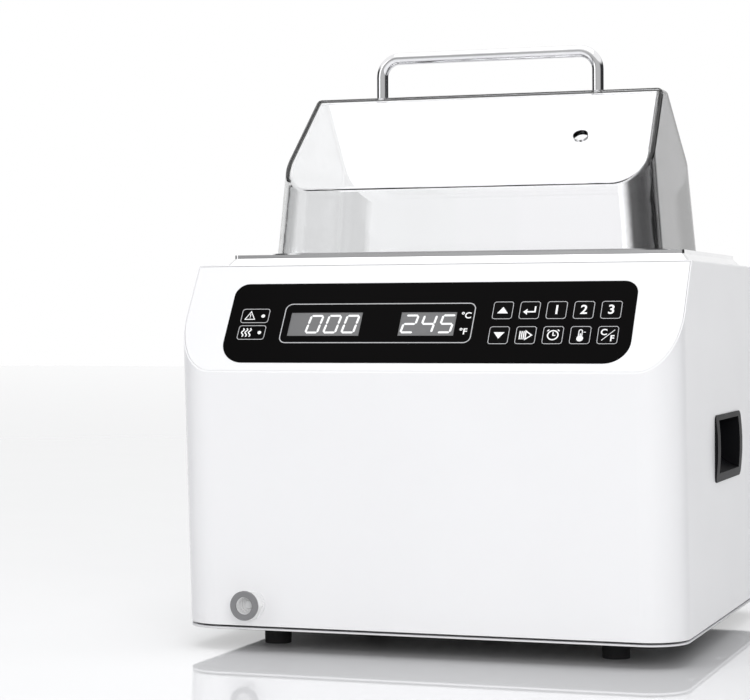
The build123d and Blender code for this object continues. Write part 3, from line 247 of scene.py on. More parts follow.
# %% [markdown]
# ## Finishes
# One function makes each finish from a colour, a roughness and one of the groups. The tone moves the
# colour by a percent or two, the height feeds a Bump, and the smudges lift the roughness in patches.

# %% Finish maker
relief_depth = 0.0002


def finish(name, colour, roughness, group=moulded_skin, sizes=None, bump=0.05, tone=0.03, smudge=0.15,
           metallic=0.0, specular=0.5):
    """A Principled material whose colour, roughness and normal vary over the surface."""
    material = bpy.data.materials.new(name)
    material.use_nodes = True
    tree = material.node_tree
    shader = tree.nodes["Principled BSDF"]
    shader.inputs["Metallic"].default_value = metallic
    shader.inputs["Specular IOR Level"].default_value = specular
    skin = tree.nodes.new("ShaderNodeGroup")
    skin.node_tree = group
    for socket, value in (sizes or {}).items():
        skin.inputs[socket].default_value = value
    marks = tree.nodes.new("ShaderNodeGroup")
    marks.node_tree = smudges
    marks.inputs["Amount"].default_value = smudge
    shades = tree.nodes.new("ShaderNodeValToRGB")
    dark, light = shades.color_ramp.elements
    dark.position, light.position = 0.3, 0.7
    dark.color = (*[c * (1 - tone) for c in colour], 1.0)
    light.color = (*[min(1.0, c * (1 + tone)) for c in colour], 1.0)
    tree.links.new(skin.outputs["Tone"], shades.inputs["Fac"])
    tree.links.new(shades.outputs["Color"], shader.inputs["Base Color"])
    rough = math_node(tree, "ADD", marks.outputs["Mask"], roughness)
    tree.links.new(rough, shader.inputs["Roughness"])
    relief = tree.nodes.new("ShaderNodeBump")
    relief.inputs["Strength"].default_value = bump
    relief.inputs["Distance"].default_value = relief_depth
    tree.links.new(skin.outputs["Height"], relief.inputs["Height"])
    tree.links.new(relief.outputs["Normal"], shader.inputs["Normal"])
    return material


# %% All plain finishes
steel_lines = {"Across X": 40.0, "Across Y": 900.0, "Across Z": 900.0}
finishes = {
    "white_housing": finish("white_housing", (0.825, 0.823, 0.83), 0.28, tone=0.008, bump=0.03),
    "black_overlay": finish("black_overlay", (0.0018, 0.0016, 0.0017), 0.2, bump=0.02, smudge=0.1,
                            specular=0.02),
    "display_window": finish("display_window", (0.17, 0.17, 0.172), 0.25, tone=0.04, bump=0.02, specular=0.1),
    "indicator_lens": finish("indicator_lens", (0.9, 0.9, 0.88), 0.2, bump=0.02),
    "key_cap": finish("key_cap", (0.002, 0.0018, 0.0019), 0.3, bump=0.05, specular=0.03),
    "polished_steel": finish("polished_steel", (0.80, 0.80, 0.81), 0.1, drawn_lines, steel_lines,
                             bump=0.03, metallic=1.0),
    "tank_steel": finish("tank_steel", (0.72, 0.72, 0.73), 0.24, drawn_lines, steel_lines,
                         bump=0.06, metallic=1.0),
    "handle_steel": finish("handle_steel", (0.86, 0.86, 0.87), 0.06, drawn_lines, steel_lines,
                           bump=0.02, metallic=1.0),
    "heater_sheath": finish("heater_sheath", (0.45, 0.42, 0.38), 0.3, drawn_lines, steel_lines,
                            bump=0.08, tone=0.1, metallic=1.0),
    "black_plastic": finish("black_plastic", (0.006, 0.006, 0.007), 0.42, bump=0.25, specular=0.1),
    "white_fitting": finish("white_fitting", (0.84, 0.84, 0.84), 0.3, tone=0.01),
    "grey_ring": finish("grey_ring", (0.2, 0.2, 0.205), 0.45, bump=0.1),
    "grey_sheet": finish("grey_sheet", (0.7, 0.7, 0.71), 0.5, sizes={"Grain": 900.0}, bump=0.3),
    "foot_rubber": finish("foot_rubber", (0.02, 0.02, 0.021), 0.7, bump=0.3),
    "screw_steel": finish("screw_steel", (0.55, 0.55, 0.56), 0.28, drawn_lines, steel_lines, metallic=1.0),
    "board": finish("board", (0.02, 0.14, 0.05), 0.35, sizes={"Grain": 300.0}, bump=0.2, tone=0.15),
    "component_black": finish("component_black", (0.03, 0.03, 0.032), 0.5, bump=0.2),
    "standoff_brass": finish("standoff_brass", (0.7, 0.55, 0.28), 0.3, drawn_lines, steel_lines,
                             metallic=1.0),
    "heatsink_aluminium": finish("heatsink_aluminium", (0.08, 0.08, 0.085), 0.45, drawn_lines, steel_lines,
                                 metallic=0.6),
    "terminal_green": finish("terminal_green", (0.03, 0.3, 0.1), 0.4, tone=0.05),
    "insulation": finish("insulation", (0.72, 0.66, 0.45), 0.95, sizes={"Grain": 500.0}, bump=0.8, tone=0.12),
    "hose_rubber": finish("hose_rubber", (0.7, 0.7, 0.66), 0.4, tone=0.04),
}
print("finishes:", len(finishes))

# %% [markdown]
# ## Clear acrylic
# The lid is one thick clear shell. It keeps full transmission and the index of acrylic. Its colour
# carries painted shade that follows the way that a wall faces, read from the shell's own normal: the
# front, the back and the slopes are clear, the end walls are painted grey, and the bends between them
# carry the darkest painted shade. The left end is kept far clearer than the right one, whose painted shade
# stands for the unlit side of the room.

# %% Lid finish
acrylic = bpy.data.materials.new("lid_acrylic")
acrylic.use_nodes = True
tree = acrylic.node_tree
shader = tree.nodes["Principled BSDF"]
shader.inputs["Transmission Weight"].default_value = 1.0
shader.inputs["IOR"].default_value = 1.49
facing = tree.nodes.new("ShaderNodeTexCoord").outputs["Normal"]
split = tree.nodes.new("ShaderNodeSeparateXYZ")
tree.links.new(facing, split.inputs[0])
facing_shade_ramp = tree.nodes.new("ShaderNodeValToRGB")
# Painted shade: end walls and bends darken by their facing, for the dark sides of the room mirrored in them.
painted_shade_by_facing = ((0.0, 0.985), (0.3, 0.97), (0.5, 0.1), (0.8, 0.08), (0.93, 0.2))
while len(facing_shade_ramp.color_ramp.elements) < len(painted_shade_by_facing):
    facing_shade_ramp.color_ramp.elements.new(0.5)
for element, (sideways, shade_lightness) in zip(facing_shade_ramp.color_ramp.elements, painted_shade_by_facing):
    element.position = sideways
    element.color = (shade_lightness, shade_lightness, shade_lightness * 1.01, 1.0)
tree.links.new(math_node(tree, "ABSOLUTE", split.outputs["X"], 0.0), facing_shade_ramp.inputs["Fac"])
along = tree.nodes.new("ShaderNodeSeparateXYZ")
tree.links.new(facing.node.outputs["Object"], along.inputs[0])
# The painted shade on the left end is mostly lifted, because that end faces the lit side.
left_shade_cut = 0.75
on_left = math_node(tree, "LESS_THAN", along.outputs["X"], 0.0)
left_share = math_node(tree, "MULTIPLY", on_left, left_shade_cut)
lid_shade_mix = tree.nodes.new("ShaderNodeMix")
lid_shade_mix.data_type = "RGBA"
lid_shade_mix.inputs["B"].default_value = (0.97, 0.975, 0.98, 1.0)
tree.links.new(left_share, lid_shade_mix.inputs["Factor"])
tree.links.new(facing_shade_ramp.outputs["Color"], lid_shade_mix.inputs["A"])
tree.links.new(lid_shade_mix.outputs["Result"], shader.inputs["Base Color"])
haze = tree.nodes.new("ShaderNodeGroup")
haze.node_tree = smudges
haze.inputs["Amount"].default_value = 0.06  # roughness added where the acrylic was touched
tree.links.new(haze.outputs["Mask"], shader.inputs["Roughness"])
finishes["lid_acrylic"] = acrylic

# %% [markdown]
# ## A painted shade under the plate
# The base plate is bare along its edge and near-black below: painted shade for the shadowed underside,
# so that the bench mirrors a dark underside. The mask is the plate's own height in object coordinates.

# %% Underside mask
plate = finishes["grey_sheet"].copy()
plate.name = "coated_plate"
tree = plate.node_tree
shader = tree.nodes["Principled BSDF"]
bare = shader.inputs["Base Color"].links[0].from_socket
place = tree.nodes.new("ShaderNodeTexCoord").outputs["Object"]
split = tree.nodes.new("ShaderNodeSeparateXYZ")
tree.links.new(place, split.inputs[0])
shade_edge = 0.0001
plate_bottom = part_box("base_plate")[0].z
above = math_node(tree, "GREATER_THAN", split.outputs["Z"], plate_bottom + shade_edge)
underside_shade_mix = tree.nodes.new("ShaderNodeMix")
underside_shade_mix.data_type = "RGBA"
# Painted shade: near-black for the underside, which only shade reaches.
underside_shade_mix.inputs["A"].default_value = (0.02, 0.02, 0.022, 1.0)
tree.links.new(above, underside_shade_mix.inputs["Factor"])
tree.links.new(bare, underside_shade_mix.inputs["B"])
tree.links.new(underside_shade_mix.outputs["Result"], shader.inputs["Base Color"])

# %% Give every CAD node its finish
for row in frame["record"]["subparts"]:
    mesh = nodes[row["node"]].data
    mesh.materials.clear()
    mesh.materials.append(finishes[row["material_slot"]])
nodes["base_plate"].data.materials[0] = plate
nodes["lid"].visible_shadow = False

# %% [markdown]
# ## A bench to stand on
# A large white top with a slight polish, which mirrors the foot of the object.

# %% Floor
bpy.ops.mesh.primitive_grid_add(x_subdivisions=4, y_subdivisions=4, size=12.0, location=(0.0, 2.0, 0.0))
floor = bpy.context.object
floor.name = "bench_top"
bench_white = finish("bench_white", (0.93, 0.93, 0.94), 0.04, tone=0.005, smudge=0.02, bump=0.0)
floor.data.materials.append(bench_white)

# %% [markdown]
# ## Printed signs on the control face
# Signs are screen-printed in a thin coat of white. Each is a low relief on the surface that carries it.
# They are drawn in the face's own two directions: along it, and down its slope from the deck's edge.

# %% The control face's own axes
face_slope = math.radians(57.0)
deck_edge = Vector((0.0, -0.10956, 0.2563))
down_slope = Vector((0.0, -math.cos(face_slope), -math.sin(face_slope)))
face_normal = Vector((0.0, -math.sin(face_slope), math.cos(face_slope)))
MM = 0.001
overlay_level = 0.2
key_level = 0.6
window_level = -0.3
print_coat = 0.08
print_root = 0.02


def on_face(along, down, level):
    """A place on the control face, from millimetres."""
    return deck_edge + Vector((along * MM, 0, 0)) + down_slope * (down * MM) + face_normal * (level * MM)


# %% Drawing tools
sharpest_mitre = 0.4


def arc(centre, radius, first, last, steps):
    """Points on a circle, from angle first to last in degrees; 90 is up the slope."""
    return [
        (
            centre[0] + radius * math.cos(math.radians(first + (last - first) * i / steps)),
            centre[1] - radius * math.sin(math.radians(first + (last - first) * i / steps)),
        )
        for i in range(steps + 1)
    ]


def add_prism(mesh, outline, level):
    """A thin closed plate with this outline, standing on level."""
    lower = [mesh.verts.new(on_face(*p, level - print_root)) for p in outline]
    upper = [mesh.verts.new(on_face(*p, level + print_coat)) for p in outline]
    mesh.faces.new(upper)
    mesh.faces.new(lower[::-1])
    for i in range(len(outline)):
        j = (i + 1) % len(outline)
        mesh.faces.new((lower[i], lower[j], upper[j], upper[i]))


def add_line(mesh, points, width, level, closed=False):
    """A thin ribbon of constant width along the points, with mitred corners."""
    count = len(points)
    sides = []
    for i, (x, y) in enumerate(points):
        before = points[i - 1] if closed or i else None
        after = points[(i + 1) % count] if closed or i < count - 1 else None
        directions = []
        for a, b in ((before, (x, y)), ((x, y), after)):
            if a is not None and b is not None:
                length = math.hypot(b[0] - a[0], b[1] - a[1])
                directions.append(((b[0] - a[0]) / length, (b[1] - a[1]) / length))
        dx = sum(d[0] for d in directions)
        dy = sum(d[1] for d in directions)
        length = math.hypot(dx, dy)
        dx, dy = dx / length, dy / length
        mitre = 1.0 / max(sharpest_mitre, dx * directions[0][0] + dy * directions[0][1])
        step = width / 2 * mitre
        sides.append(((x - dy * step, y + dx * step), (x + dy * step, y - dx * step)))
    rings = [
        [
            mesh.verts.new(on_face(*left, level + print_coat)),
            mesh.verts.new(on_face(*right, level + print_coat)),
            mesh.verts.new(on_face(*right, level - print_root)),
            mesh.verts.new(on_face(*left, level - print_root)),
        ]
        for left, right in sides
    ]
    for i in range(count if closed else count - 1):
        first, second = rings[i], rings[(i + 1) % count]
        for k in range(4):
            m = (k + 1) % 4
            mesh.faces.new((first[k], first[m], second[m], second[k]))
    if not closed:
        mesh.faces.new(rings[0][::-1])
        mesh.faces.new(rings[-1])


def riding(name, data, body):
    """A piece with this mesh, which rides on a body."""
    made = bpy.data.objects.new(name, data)
    bpy.context.scene.collection.objects.link(made)
    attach(made, body)
    return made


def piece_from(mesh, name, material, body):
    """Turn a bmesh into a piece that rides on a body."""
    bmesh.ops.recalc_face_normals(mesh, faces=mesh.faces)
    data = bpy.data.meshes.new(name)
    mesh.to_mesh(data)
    mesh.free()
    data.materials.append(material)
    return riding(name, data, body)


white_print = finish("white_print", (0.88, 0.88, 0.88), 0.45, bump=0.02, tone=0.01)
grey_print = finish("grey_print", (0.52, 0.52, 0.53), 0.45, bump=0.02, tone=0.01)

# %% [markdown]
# Thirteen rounded frames surround the displays, the two lights and the ten keys. They differ only in
# size, so one Geometry Nodes tree draws them all: a rectangle, a fillet and a flat profile swept
# round it. Its inputs are the width, the height, the corner radius and the line's width.


# %% The frame tree
def frame_tree():
    """Geometry Nodes: a rounded rectangular line, lying in the XY plane."""
    tree = bpy.data.node_groups.new("rounded_frame", "GeometryNodeTree")
    sockets = {}
    for label, value in (("Width", 13.0), ("Height", 13.0), ("Corner", 1.5), ("Line", 0.5), ("Coat", 0.1)):
        made = tree.interface.new_socket(label, in_out="INPUT", socket_type="NodeSocketFloat")
        made.default_value = value
        sockets[label] = made.identifier
    made = tree.interface.new_socket("Print", in_out="INPUT", socket_type="NodeSocketMaterial")
    sockets["Print"] = made.identifier
    tree.interface.new_socket("Geometry", in_out="OUTPUT", socket_type="NodeSocketGeometry")
    given = tree.nodes.new("NodeGroupInput")
    result = tree.nodes.new("NodeGroupOutput")
    outline = tree.nodes.new("GeometryNodeCurvePrimitiveQuadrilateral")
    rounding = tree.nodes.new("GeometryNodeFilletCurve")
    rounding.mode = "POLY"
    rounding.inputs["Count"].default_value = 6
    rounding.inputs["Limit Radius"].default_value = True
    profile = tree.nodes.new("GeometryNodeCurvePrimitiveQuadrilateral")
    sweep = tree.nodes.new("GeometryNodeCurveToMesh")
    sweep.inputs["Fill Caps"].default_value = False
    realize = tree.nodes.new("GeometryNodeRealizeInstances")
    paint = tree.nodes.new("GeometryNodeSetMaterial")
    tree.links.new(given.outputs["Width"], outline.inputs["Width"])
    tree.links.new(given.outputs["Height"], outline.inputs["Height"])
    tree.links.new(outline.outputs[0], rounding.inputs["Curve"])
    tree.links.new(given.outputs["Corner"], rounding.inputs["Radius"])
    tree.links.new(given.outputs["Line"], profile.inputs["Width"])
    tree.links.new(given.outputs["Coat"], profile.inputs["Height"])
    tree.links.new(rounding.outputs[0], sweep.inputs["Curve"])
    tree.links.new(profile.outputs[0], sweep.inputs["Profile Curve"])
    tree.links.new(sweep.outputs[0], realize.inputs[0])
    tree.links.new(realize.outputs[0], paint.inputs["Geometry"])
    tree.links.new(given.outputs["Print"], paint.inputs["Material"])
    tree.links.new(paint.outputs[0], result.inputs[0])
    return tree, sockets


rounded_frame, frame_sockets = frame_tree()


def made_by_tree(name, tree, values, source=None):
    """Run a Geometry Nodes tree once, and return the plain mesh that it makes."""
    data = source or bpy.data.meshes.new(name + "_seed")
    host = bpy.data.objects.new(name + "_seed", data)
    bpy.context.scene.collection.objects.link(host)
    modifier = host.modifiers.new("nodes", "NODES")
    modifier.node_group = tree
    for identifier, value in values.items():
        modifier[identifier] = value
    evaluated = host.evaluated_get(bpy.context.evaluated_depsgraph_get())
    result = bpy.data.meshes.new_from_object(evaluated)
    result.name = name
    bpy.data.objects.remove(host)
    return result


# Turns what is drawn flat, in X and Y, to lie on the control face.
face_frame = Matrix((
    (1, 0, 0, 0),
    (0, -down_slope.y, face_normal.y, 0),
    (0, -down_slope.z, face_normal.z, 0),
    (0, 0, 0, 1),
))


def framed(name, centre, size, corner, line, level, body):
    """A printed frame round a place on the control face."""
    values = {
        frame_sockets["Width"]: size[0] * MM,
        frame_sockets["Height"]: size[1] * MM,
        frame_sockets["Corner"]: corner * MM,
        frame_sockets["Line"]: line * MM,
        frame_sockets["Coat"]: 2 * print_coat * MM,
        frame_sockets["Print"]: grey_print,
    }
    data = made_by_tree(name, rounded_frame, values)
    data.transform(Matrix.Translation(on_face(*centre, level)) @ face_frame)
    return riding(name, data, body)


# %% Frames round displays, lights and keys
framed("display_frame", (-33.0, 47.3), (131.3, 30.2), 4.5, 0.65, overlay_level, "base")
framed("alarm_frame", (-119.5, 41.3), (19.4, 10.7), 1.8, 0.45, overlay_level, "base")
framed("heating_frame", (-119.5, 54.4), (19.0, 10.7), 1.8, 0.45, overlay_level, "base")
first_key = (51.4, 38.1)
key_step_across, key_step_down = 17.8, 18.95
key_names = (
    ("key_up", "key_enter", "key_program_1", "key_program_2", "key_program_3"),
    ("key_down", "key_run", "key_timer", "key_temperature", "key_units"),
)
key_places = {
    name: (first_key[0] + key_step_across * column, first_key[1] + key_step_down * row)
    for row, names in enumerate(key_names)
    for column, name in enumerate(names)
}
for name, centre in key_places.items():
    framed(name + "_frame", centre, (12.9, 12.9), 1.7, 0.42, key_level, name + "_cap")
print("frames:", 3 + len(key_places))

# %% [markdown]
# Each key has its own sign. Arrows, a return stroke, a clock, a thermometer and plain figures are
# enough to say what a key does, and they are drawn with the two tools above.


# %% Key signs
def sign(name, draw):
    """Draw one key's sign at the key's place."""
    mesh = bmesh.new()
    draw(mesh, *key_places[name])
    return piece_from(mesh, name + "_sign", white_print, name + "_cap")


def draw_up(mesh, x, y, up=1):
    """An arrow head, which points down when up is -1."""
    corners = [(x - 3.6, y + 2.3 * up), (x + 3.6, y + 2.3 * up), (x, y - 2.6 * up)]
    add_prism(mesh, corners, key_level)


def draw_down(mesh, x, y):
    draw_up(mesh, x, y, up=-1)


def draw_enter(mesh, x, y):
    """A stroke that comes down, turns left and ends in an arrow head."""
    add_line(mesh, [(x + 3.6, y - 3.0), (x + 3.6, y + 1.2), (x - 1.6, y + 1.2)], 1.0, key_level)
    add_prism(mesh, [(x - 4.2, y + 1.2), (x - 1.5, y - 1.1), (x - 1.5, y + 3.5)], key_level)


def draw_run(mesh, x, y):
    """Three bars and an open arrow head."""
    for shift in (-3.9, -2.6, -1.3):
        add_line(mesh, [(x + shift, y - 3.1), (x + shift, y + 3.1)], 0.75, key_level)
    add_line(mesh, [(x - 0.1, y - 3.1), (x + 3.9, y), (x - 0.1, y + 3.1)], 0.8, key_level, closed=True)


def draw_clock(mesh, x, y):
    """A round dial with two hands and two bells."""
    add_line(mesh, arc((x, y), 3.4, 0, 345, 22), 0.85, key_level, closed=True)
    add_line(mesh, [(x, y - 2.4), (x, y + 0.2), (x + 1.7, y + 0.2)], 0.7, key_level)
    add_line(mesh, [(x - 4.0, y - 3.0), (x - 2.8, y - 4.1)], 0.7, key_level)
    add_line(mesh, [(x + 2.8, y - 4.1), (x + 4.0, y - 3.0)], 0.7, key_level)


def draw_thermometer(mesh, x, y):
    """A bulb, an open stem with its column, and one mark."""
    add_prism(mesh, arc((x, y + 2.5), 2.2, 0, 345, 18), key_level)
    stem = [(x - 1.1, y + 1.2), (x - 1.1, y - 2.6)] + arc((x, y - 2.9), 1.1, 165, 15, 6)
    add_line(mesh, stem + [(x + 1.1, y + 1.2)], 0.6, key_level)
    add_line(mesh, [(x, y + 1.0), (x, y - 1.2)], 0.8, key_level)
    add_line(mesh, [(x + 1.9, y - 2.2), (x + 3.4, y - 2.2)], 0.5, key_level)


for name, draw in (
    ("key_up", draw_up), ("key_down", draw_down), ("key_enter", draw_enter),
    ("key_run", draw_run), ("key_timer", draw_clock), ("key_temperature", draw_thermometer),
):
    sign(name, draw)


# %% Figures and letters
def lettering(name, text, centre, height, level, body, bold):
    """Set a short text on the control face as a thin mesh."""
    curve = bpy.data.curves.new(name, "FONT")
    curve.body = text
    curve.size = height * MM
    curve.align_x = "CENTER"
    curve.align_y = "CENTER"
    curve.extrude = print_coat * MM
    curve.offset = bold * MM
    holder = bpy.data.objects.new(name + "_text", curve)
    bpy.context.scene.collection.objects.link(holder)
    evaluated = holder.evaluated_get(bpy.context.evaluated_depsgraph_get())
    data = bpy.data.meshes.new_from_object(evaluated)
    bpy.data.objects.remove(holder)
    data.name = name
    data.transform(Matrix.Translation(on_face(*centre, level)) @ face_frame)
    data.materials.clear()
    data.materials.append(white_print)
    return riding(name, data, body)


for figure in "123":
    key = "key_program_" + figure
    lettering(key + "_figure", figure, key_places[key], 9.5, key_level, key + "_cap", bold=0.18)
unit_x, unit_y = key_places["key_units"]
for name, letter, centre in (
    ("key_units_c", "C", (unit_x - 2.7, unit_y - 2.0)), ("key_units_f", "F", (unit_x + 3.0, unit_y + 2.6)),
):
    lettering(name, letter, centre, 6.2, key_level, "key_units_cap", bold=0.15)
mesh = bmesh.new()
add_line(mesh, [(unit_x - 3.8, unit_y + 4.0), (unit_x + 4.2, unit_y - 3.9)], 0.45, key_level)
piece_from(mesh, "key_units_stroke", white_print, "key_units_cap")
for name, mark, centre in (("celsius_mark", "°C", (27.3, 41.8)), ("fahrenheit_mark", "°F", (27.0, 54.1))):
    lettering(name, mark, centre, 6.4, overlay_level, "base", bold=0.12)

# %% [markdown]
# The alarm and heating boxes each hold a sign beside their light: a triangle and three rising waves.

# %% Status signs
mesh = bmesh.new()
add_line(mesh, [(-126.4, 44.0), (-119.6, 44.0), (-123.0, 37.9)], 0.6, overlay_level, closed=True)
add_line(mesh, [(-123.0, 39.9), (-123.0, 42.0)], 0.6, overlay_level)
add_line(mesh, [(-123.0, 42.6), (-123.0, 43.2)], 0.6, overlay_level)
piece_from(mesh, "alarm_sign", white_print, "base")
mesh = bmesh.new()
wave_top, wave_step, wave_swing = 51.2, 0.53, 0.75
for shift in (-125.9, -123.4, -120.9):
    wave = [(shift + wave_swing * math.sin(i * math.pi / 4), wave_top + i * wave_step) for i in range(13)]
    add_line(mesh, wave, 0.85, overlay_level)
piece_from(mesh, "heating_sign", white_print, "base")

# %% [markdown]
# ## Display digits
# Liquid-crystal digits are seven slanted bars with pointed ends. One function draws a digit from the
# names of the bars that are lit, so any reading can be set.

# %% Seven-bar digits
BARS = {
    "a": ((0, 0), (1, 0)), "b": ((1, 0), (1, 1)), "c": ((1, 1), (1, 2)), "d": ((0, 2), (1, 2)),
    "e": ((0, 1), (0, 2)), "f": ((0, 0), (0, 1)), "g": ((0, 1), (1, 1)),
}
LIT = {"0": "abcdef", "2": "abged", "4": "fgbc", "5": "afgcd"}
digit_width, digit_height, digit_lean, digit_step = 8.2, 13.0, 0.16, 12.6
digits_top = 41.2
bar_thickness = 1.5
bar_inset, bar_point = 0.55 * bar_thickness, 0.45 * bar_thickness


def draw_digit(mesh, digit, left):
    """One digit, its bars leaning to the right by digit_lean per unit of height."""
    def place(column, row):
        down = row * digit_height / 2
        return left + column * digit_width + digit_lean * (digit_height - down), digits_top + down

    for bar in LIT[digit]:
        first, last = (place(*p) for p in BARS[bar])
        length = math.hypot(last[0] - first[0], last[1] - first[1])
        ux, uy = (last[0] - first[0]) / length, (last[1] - first[1]) / length
        a = (first[0] + ux * bar_inset, first[1] + uy * bar_inset)
        b = (last[0] - ux * bar_inset, last[1] - uy * bar_inset)
        nx, ny = -uy * bar_thickness / 2, ux * bar_thickness / 2
        outline = [
            (a[0] - ux * bar_point, a[1] - uy * bar_point), (a[0] + nx, a[1] + ny), (b[0] + nx, b[1] + ny),
            (b[0] + ux * bar_point, b[1] + uy * bar_point), (b[0] - nx, b[1] - ny), (a[0] - nx, a[1] - ny),
        ]
        add_prism(mesh, outline[::-1], window_level)


def reading(name, digits, left):
    """A row of digits in a display window, from its left end."""
    mesh = bmesh.new()
    for i, digit in enumerate(digits):
        draw_digit(mesh, digit, left + i * digit_step)
    return piece_from(mesh, name, digit_white, "base")


digit_white = finish("digit_white", (0.92, 0.92, 0.92), 0.4, bump=0.0, tone=0.01)
reading("time_reading", "000", left=-81.5)
reading("temperature_reading", "245", left=-15.5)

# %% [markdown]
# ## Screw heads
# The solids hold plain discs. A pan head with a cross recess is modelled once and set on points by a
# Geometry Nodes tree, which turns each by a fixed random angle, as a hand-driven screw ends up.


# %% One pan head
head_radius, head_height = 0.0028, 0.0017
recess_arm, arm_half_width, recess_taper, recess_floor = 0.001736, 0.00041664, 0.6, 0.45 * head_height


def pan_head():
    """A domed head with a cross recess, its seat at height 0, pointing along +Z."""
    mesh = bmesh.new()
    rings = []
    crown = ((1.0, 0.0), (1.0, 0.45), (0.9, 0.78), (0.62, 1.0))
    profile = [(head_radius * out, head_height * up) for out, up in crown]
    around = 24
    for r, z in profile:
        rings.append([
            mesh.verts.new((r * math.cos(i * math.tau / around), r * math.sin(i * math.tau / around), z))
            for i in range(around)
        ])
    for lower, upper in zip(rings, rings[1:]):
        for i in range(around):
            j = (i + 1) % around
            mesh.faces.new((lower[i], lower[j], upper[j], upper[i]))
    mesh.faces.new(rings[0][::-1])
    arm, half = recess_arm, arm_half_width
    cross = []
    for quarter in range(4):
        turn_by = quarter * math.pi / 2
        for x, y in ((arm, -half), (arm, half), (half, half)):
            cross.append((
                x * math.cos(turn_by) - y * math.sin(turn_by), x * math.sin(turn_by) + y * math.cos(turn_by),
            ))
    top = [mesh.verts.new((x, y, head_height)) for x, y in cross]
    bottom = [mesh.verts.new((x * recess_taper, y * recess_taper, recess_floor)) for x, y in cross]
    for i in range(12):
        j = (i + 1) % 12
        mesh.faces.new((top[j], top[i], bottom[i], bottom[j]))
    mesh.faces.new(bottom)
    outer = [mesh.edges.get((rings[-1][i], rings[-1][(i + 1) % around])) for i in range(around)]
    inner = [mesh.edges.get((top[i], top[(i + 1) % 12])) for i in range(12)]
    bmesh.ops.triangle_fill(mesh, edges=outer + inner, use_beauty=True)
    bmesh.ops.recalc_face_normals(mesh, faces=mesh.faces)
    data = bpy.data.meshes.new("pan_head")
    mesh.to_mesh(data)
    mesh.free()
    return data


# %% The tree that sets heads on points
def head_tree():
    """Geometry Nodes: a head on every point, tilted, and turned by a random angle."""
    tree = bpy.data.node_groups.new("heads_on_points", "GeometryNodeTree")
    sockets = {}
    tree.interface.new_socket("Geometry", in_out="INPUT", socket_type="NodeSocketGeometry")
    for label, kind in (
        ("Head", "NodeSocketObject"), ("Metal", "NodeSocketMaterial"),
        ("Tilt", "NodeSocketVector"), ("Seed", "NodeSocketInt"),
    ):
        sockets[label] = tree.interface.new_socket(label, in_out="INPUT", socket_type=kind).identifier
    tree.interface.new_socket("Geometry", in_out="OUTPUT", socket_type="NodeSocketGeometry")
    given = tree.nodes.new("NodeGroupInput")
    result = tree.nodes.new("NodeGroupOutput")
    info = tree.nodes.new("GeometryNodeObjectInfo")
    points = tree.nodes.new("GeometryNodeMeshToPoints")
    spread = tree.nodes.new("GeometryNodeInstanceOnPoints")
    spin = tree.nodes.new("FunctionNodeRandomValue")
    spin.data_type = "FLOAT"
    local = tree.nodes.new("GeometryNodeRotateInstances")
    angle = tree.nodes.new("ShaderNodeCombineXYZ")
    realize = tree.nodes.new("GeometryNodeRealizeInstances")
    paint = tree.nodes.new("GeometryNodeSetMaterial")
    tree.links.new(given.outputs["Geometry"], points.inputs["Mesh"])
    tree.links.new(points.outputs[0], spread.inputs["Points"])
    tree.links.new(given.outputs["Head"], info.inputs["Object"])
    tree.links.new(info.outputs["Geometry"], spread.inputs["Instance"])
    tree.links.new(given.outputs["Tilt"], spread.inputs["Rotation"])
    spin.inputs[2].default_value = 0.0
    spin.inputs[3].default_value = math.pi
    tree.links.new(given.outputs["Seed"], spin.inputs["Seed"])
    tree.links.new(spin.outputs[1], angle.inputs["Z"])
    tree.links.new(spread.outputs[0], local.inputs["Instances"])
    tree.links.new(angle.outputs[0], local.inputs["Rotation"])
    local.inputs["Local Space"].default_value = True
    tree.links.new(local.outputs[0], realize.inputs[0])
    tree.links.new(realize.outputs[0], paint.inputs["Geometry"])
    tree.links.new(given.outputs["Metal"], paint.inputs["Material"])
    tree.links.new(paint.outputs[0], result.inputs[0])
    return tree, sockets


heads_on_points, head_sockets = head_tree()


def screw_heads(name, places, tilt, body, node, seed):
    """Set pan heads on places, and let them stand for the node's plain discs."""
    head = bpy.data.objects.new(name + "_one", pan_head())
    bpy.context.scene.collection.objects.link(head)
    seeds = bpy.data.meshes.new(name + "_places")
    seeds.from_pydata([Vector(p) for p in places], [], [])
    values = {
        head_sockets["Head"]: head,
        head_sockets["Metal"]: finishes["screw_steel"],
        head_sockets["Tilt"]: tilt,
        head_sockets["Seed"]: seed,
    }
    data = made_by_tree(name, heads_on_points, values, seeds)
    bpy.data.objects.remove(head)
    made = riding(name, data, body)
    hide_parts(node)
    print(name, len(places), "heads,", len(data.polygons), "faces")
    return made


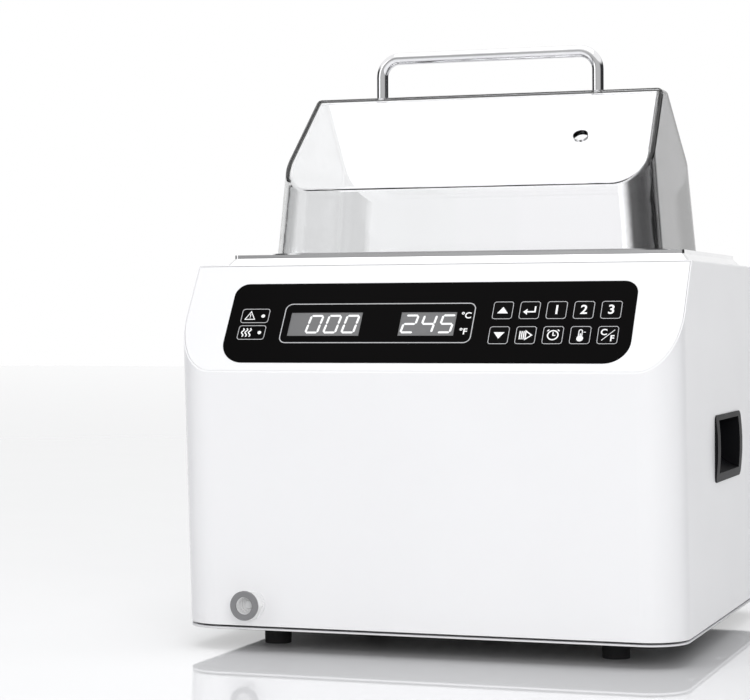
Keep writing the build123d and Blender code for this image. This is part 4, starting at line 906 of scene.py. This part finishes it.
def disc_boxes(node):
    """The box of each separate disc in a node, as low and high corners."""
    mesh = bmesh.new()
    mesh.from_mesh(nodes[node].data)
    bmesh.ops.remove_doubles(mesh, verts=mesh.verts, dist=1e-6)
    left, found = set(mesh.verts), []
    while left:
        stack, group = [left.pop()], []
        while stack:
            vert = stack.pop()
            group.append(vert.co.copy())
            for edge in vert.link_edges:
                other = edge.other_vert(vert)
                if other in left:
                    left.remove(other)
                    stack.append(other)
        low = Vector([min(c[k] for c in group) for k in range(3)])
        high = Vector([max(c[k] for c in group) for k in range(3)])
        found.append((low, high))
    mesh.free()
    return sorted(found, key=lambda pair: tuple(round(c, 5) for c in pair[0]))


# %% Rear and base screws
rear_face_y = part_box("rear_panel")[1].y
rear_middles = [(low + high) / 2 for low, high in disc_boxes("rear_panel_screws")]
screw_heads(
    "rear_screw_heads", [(place.x, rear_face_y, place.z) for place in rear_middles],
    tilt=(-math.pi / 2, 0.0, 0.0), body="base", node="rear_panel_screws", seed=3,
)
base_middles = [(low + high) / 2 for low, high in disc_boxes("base_screws")]
screw_heads(
    "base_screw_heads", [(place.x, place.y, plate_bottom) for place in base_middles],
    tilt=(math.pi, 0.0, 0.0), body="base", node="base_screws", seed=5,
)

# %% [markdown]
# ## Inlet pins
# Three flat blades stand in the mains socket, the middle one nearer the top.

# %% Pins
inlet_low, inlet_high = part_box("power_inlet")
inlet_x, inlet_z = (inlet_low.x + inlet_high.x) / 2, (inlet_low.z + inlet_high.z) / 2
pin_half_width, pin_half_height = 0.001, 0.002
pin_root, pin_tip = 0.1413, 0.1545
pin_size = (2 * pin_half_width, pin_tip - pin_root, 2 * pin_half_height)
mesh = bmesh.new()
for across, up in ((0.0, 0.013), (-0.007, 0.009), (0.007, 0.009)):
    pin_place = Matrix.Translation((inlet_x + across, (pin_root + pin_tip) / 2, inlet_z + up))
    bmesh.ops.create_cube(mesh, size=1.0, matrix=pin_place @ Matrix.Diagonal((*pin_size, 1.0)))
piece_from(mesh, "inlet_pins", finishes["screw_steel"], "base")

# %% The view transform
bpy.context.scene.view_settings.view_transform = "Standard"
